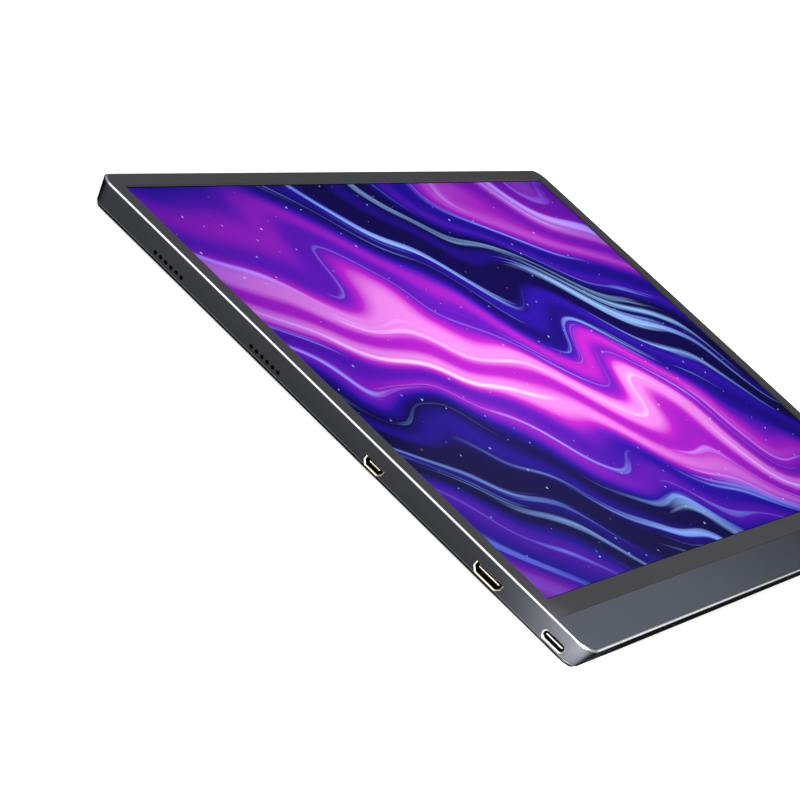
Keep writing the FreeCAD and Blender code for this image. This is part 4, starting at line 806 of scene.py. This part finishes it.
class MONITOR_OT_keys(bpy.types.Operator):
    """Finish the rocker keys, their brackets and switches"""
    bl_idname = "monitor.keys"
    bl_label = "Keys"

    def execute(self, context):
        look = context.scene.monitor_keys
        dress(drawn_metal("satin_anodised_key", look.colour, spacing=0.3 * MM, length=12 * MM,
                          roughness=0.34, turn=math.pi / 2), "rocker_key_upper", "rocker_key_lower")
        dress(moulded_plastic("moulded_nylon", look.nylon, grain=0.4 * MM, roughness=0.5),
              "rocker_bracket_upper", "rocker_bracket_lower", "tact_switches")
        return {"FINISHED"}


class MONITOR_OT_inside(bpy.types.Operator):
    """Finish the speakers, boards, cables and screws inside"""
    bl_idname = "monitor.inside"
    bl_label = "Inside"

    def execute(self, context):
        places = [f"{side}_{row}" for side in ("left", "right") for row in ("upper", "lower")]
        dress(moulded_plastic("moulded_speaker_box", linear("#19191B"), grain=0.4 * MM, roughness=0.5),
              *(f"speaker_box_{place}" for place in places))
        dress(foam("pressed_pulp_cone", linear("#26262A"), cell=0.5 * MM),
              *(f"speaker_diaphragm_{place}" for place in places))
        dress(drawn_metal("plated_yoke_sheet", linear("#8D8F92"), spacing=0.4 * MM, length=15 * MM,
                          roughness=0.3), *(f"speaker_yoke_{place}" for place in places))
        dress(drawn_metal("blackened_screw_steel", linear("#3C3D40"), spacing=0.3 * MM, length=1 * MM,
                          roughness=0.35), "screws")
        dress(laminate("solder_masked_laminate", linear("#0F4A2C"), linear("#1F7A48"), pitch=3 * MM),
              "main_board", "power_board", "drive_board", "led_bar")
        dress(moulded_plastic("moulded_epoxy_packages", linear("#1D1D20"), grain=0.3 * MM, roughness=0.4),
              "main_board_chips", "power_board_chips", "drive_board_chips")
        dress(laminate("copper_polyimide_film", linear("#A8742A"), linear("#C9974A"), pitch=1 * MM),
              "board_link_cable", "display_cable", "driver_films")
        dress(moulded_plastic("extruded_lead_sleeve", linear("#17171A"), grain=0.5 * MM, roughness=0.55),
              "speaker_leads_left", "speaker_leads_right")
        return {"FINISHED"}


class MONITOR_OT_marks(bpy.types.Operator):
    """Print plain signs beside the keys and the right-hand socket"""
    bl_idname = "monitor.marks"
    bl_label = "Signs"

    def execute(self, context):
        look = context.scene.monitor_marks
        bm = bmesh.new()
        for y, size in SUN_SIGNS:
            self.add_sun(bm, look, wall_place(look, y * MM, KEY_SIGN_LEVEL * MM), look.radius * size)
        for y, dot in DIAL_SIGNS:
            self.add_dial(bm, look, wall_place(look, y * MM, KEY_SIGN_LEVEL * MM), dot)
        y, level = BOLT_PLACE
        self.add_bolt(bm, look, wall_place(look, y * MM, level * MM))
        ink = moulded_plastic("pad_printed_ink", look.ink, grain=0.2 * MM, roughness=0.55, depth=0.1)
        new_piece("wall_signs", bm, ink, CASE_BODY)
        return {"FINISHED"}

    def add_circle(self, bm, look, place, radius, line):
        """Ring of ink, sunk a little into the wall."""
        add_ring(bm, radius, line, -INK_SINK * look.film, look.film, place)

    def add_bar(self, bm, look, place, x, length, width):
        """Bar of ink, sunk as the rings are."""
        sink = -INK_SINK * look.film
        add_block(bm, (x, 0, (sink + look.film) / 2), (length, width, look.film - sink), place)

    def add_sun(self, bm, look, place, radius):
        """Small ring with short rays round it."""
        self.add_circle(bm, look, place, radius, look.line * SUN_LINE)
        for index in range(SUN_RAYS):
            turn = Matrix.Rotation(index * 2 * math.pi / SUN_RAYS, 4, "Z")
            self.add_bar(bm, look, place @ turn, radius * RAY_MIDDLE, radius * RAY_LENGTH,
                         look.line * RAY_LINE)

    def add_dial(self, bm, look, place, dot):
        """Ring with a dot or a bar in its middle."""
        self.add_circle(bm, look, place, look.radius, look.line)
        if dot:
            self.add_circle(bm, look, place, look.line * DOT_RADIUS, look.line)
        else:
            self.add_bar(bm, look, place, 0, look.radius, look.line)

    def add_bolt(self, bm, look, place):
        """Zigzag outline filled with ink."""
        sink = -INK_SINK * look.film
        corners = [bm.verts.new(place @ Vector((x * MM, y * MM, sink))) for x, y in BOLT_OUTLINE]
        grown = bmesh.ops.extrude_face_region(bm, geom=[bm.faces.new(corners)])
        lift = place.to_3x3() @ Vector((0, 0, look.film - sink))
        bmesh.ops.translate(bm, vec=lift, verts=[item for item in grown["geom"]
                                                 if isinstance(item, bmesh.types.BMVert)])


def light_card(name, spot, aim, size, power, spread):
    """Soft box: an area lamp turned to a point, with its beam's full angle in degrees."""
    lamp = bpy.data.lights.new(name, "AREA")
    lamp.shape = "RECTANGLE"
    lamp.size, lamp.size_y = size
    lamp.energy = power
    lamp.spread = math.radians(spread)
    card = bpy.data.objects.new(name, lamp)
    card.visible_camera = False
    card.location = spot
    card.rotation_euler = (Vector(aim) - Vector(spot)).to_track_quat("-Z", "Y").to_euler()
    bpy.context.scene.collection.objects.link(card)


def stage_sheet(name, material, size, middle):
    """Flat sheet of the studio, no part of the monitor."""
    bm = bmesh.new()
    place = Matrix.Translation(middle) @ Matrix.Diagonal((*size, 1.0, 1.0))
    bmesh.ops.create_grid(bm, x_segments=1, y_segments=1, size=0.5, matrix=place)
    mesh = bpy.data.meshes.new(name)
    bm.to_mesh(mesh)
    bm.free()
    mesh.materials.append(material)
    sheet = bpy.data.objects.new(name, mesh)
    bpy.context.scene.collection.objects.link(sheet)
    return sheet


class MONITOR_OT_stage(bpy.types.Operator):
    """Lay the floor, light the studio and set the camera"""
    bl_idname = "monitor.stage"
    bl_label = "Stage"

    def execute(self, context):
        look = context.scene.monitor_stage
        scene = context.scene
        scene.view_settings.view_transform = "Standard"
        self.lay_floor(look)
        self.lay_card(look)
        self.fill_air(scene, look)
        for name, card in LIGHT_CARDS.items():
            light_card(name, *card)
        self.set_camera(scene, look)
        return {"FINISHED"}

    def lay_floor(self, look):
        """Pale floor that adds light of its own for the viewer and in reflections."""
        material, tree, coords = start_material("pale_studio_floor")
        mottle = node(tree, "ShaderNodeTexNoise", {"Vector": coords, "Scale": 1 / FLOOR_MOTTLE})
        tone = shades(tree, mottle.outputs["Fac"], look.floor_colour, spread=0.005)
        diffuse = node(tree, "ShaderNodeBsdfDiffuse", {"Color": tone})
        rays = node(tree, "ShaderNodeLightPath").outputs
        mirror = node(tree, "ShaderNodeMath", {0: rays["Is Glossy Ray"], 1: rays["Is Transmission Ray"]},
                      operation="MAXIMUM")
        mirrored = node(tree, "ShaderNodeMath", {0: mirror.outputs[0], 1: look.floor_mirror},
                        operation="MULTIPLY")
        glow = node(tree, "ShaderNodeMath", {0: rays["Is Camera Ray"], 1: look.floor_glow,
                                             2: mirrored.outputs[0]}, operation="MULTIPLY_ADD")
        shine = node(tree, "ShaderNodeEmission", {"Strength": glow.outputs[0]})
        both = node(tree, "ShaderNodeAddShader", {0: diffuse.outputs[0], 1: shine.outputs[0]})
        node(tree, "ShaderNodeOutputMaterial", {"Surface": both.outputs[0]})
        stage_sheet("floor", material, (look.floor_size, look.floor_size), FLOOR_PLACE)

    def lay_card(self, look):
        """Dark card beside the lower wall, seen in that wall's gloss and nowhere else."""
        material, tree, coords = start_material("flocked_flag_card")
        nap = node(tree, "ShaderNodeTexNoise", {"Vector": coords, "Scale": 1 / CARD_NAP})
        end_material(material, {
            "Base Color": shades(tree, nap.outputs["Fac"], look.card_colour, spread=0.1),
            "Roughness": 1.0,
            "Specular IOR Level": 0.0,
        })
        card = stage_sheet("flag_card", material, CARD_SIZE, CARD_PLACE)
        for ray in ("camera", "diffuse", "transmission", "shadow"):
            setattr(card, f"visible_{ray}", False)

    def fill_air(self, scene, look):
        """Even light all round, with a dark patch behind the monitor that only the viewer doesn't see."""
        world = bpy.data.worlds.new("studio_air")
        scene.world = world
        world.use_nodes = True
        tree = world.node_tree
        tree.nodes.clear()
        heading = node(tree, "ShaderNodeTexCoord").outputs["Generated"]
        facing = node(tree, "ShaderNodeVectorMath", {0: heading, 1: FLAG_HEADING}, operation="DOT_PRODUCT")
        flag = node(tree, "ShaderNodeMapRange", {"Value": facing.outputs["Value"], **FLAG_RANGE,
                                                 "To Min": look.air, "To Max": look.flag})
        rays = node(tree, "ShaderNodeLightPath").outputs
        level = node(tree, "ShaderNodeMix", {0: rays["Is Camera Ray"], 2: flag.outputs["Result"], 3: 1.0})
        air = node(tree, "ShaderNodeBackground", {"Color": paint(look.air_colour),
                                                  "Strength": level.outputs[0]})
        node(tree, "ShaderNodeOutputWorld", {"Surface": air.outputs[0]})

    def set_camera(self, scene, look):
        eye = bpy.data.cameras.new("camera")
        eye.lens = look.lens
        eye.sensor_width = SENSOR_WIDTH
        camera = bpy.data.objects.new("camera", eye)
        scene.collection.objects.link(camera)
        turn = Matrix((CAMERA_RIGHT, CAMERA_UP, CAMERA_BACK)).transposed().to_4x4()
        camera.matrix_world = Matrix.Translation(CAMERA_PLACE) @ turn
        scene.camera = camera


OPERATORS = (
    MONITOR_OT_case, MONITOR_OT_front, MONITOR_OT_screen, MONITOR_OT_sockets, MONITOR_OT_keys,
    MONITOR_OT_inside, MONITOR_OT_marks, MONITOR_OT_stage,
)


class MONITOR_PT_finish(bpy.types.Panel):
    """Sidebar panel with one button for each group of pieces"""
    bl_label = "Portable monitor"
    bl_space_type = "VIEW_3D"
    bl_region_type = "UI"
    bl_category = "Monitor"

    def draw(self, context):
        for operator in OPERATORS:
            self.layout.operator(operator.bl_idname)


CLASSES = (*SETTINGS.values(), *OPERATORS, MONITOR_PT_finish)


def register():
    for item in CLASSES:
        bpy.utils.register_class(item)
    for name, group in SETTINGS.items():
        setattr(bpy.types.Scene, name, bpy.props.PointerProperty(type=group))


def unregister():
    for name in SETTINGS:
        delattr(bpy.types.Scene, name)
    for item in reversed(CLASSES):
        bpy.utils.unregister_class(item)


def main():
    register()
    bpy.ops.monitor.case()
    bpy.ops.monitor.front()
    bpy.ops.monitor.screen()
    bpy.ops.monitor.sockets()
    bpy.ops.monitor.keys()
    bpy.ops.monitor.inside()
    bpy.ops.monitor.marks()
    bpy.ops.monitor.stage()


if __name__ == "__main__":
    main()
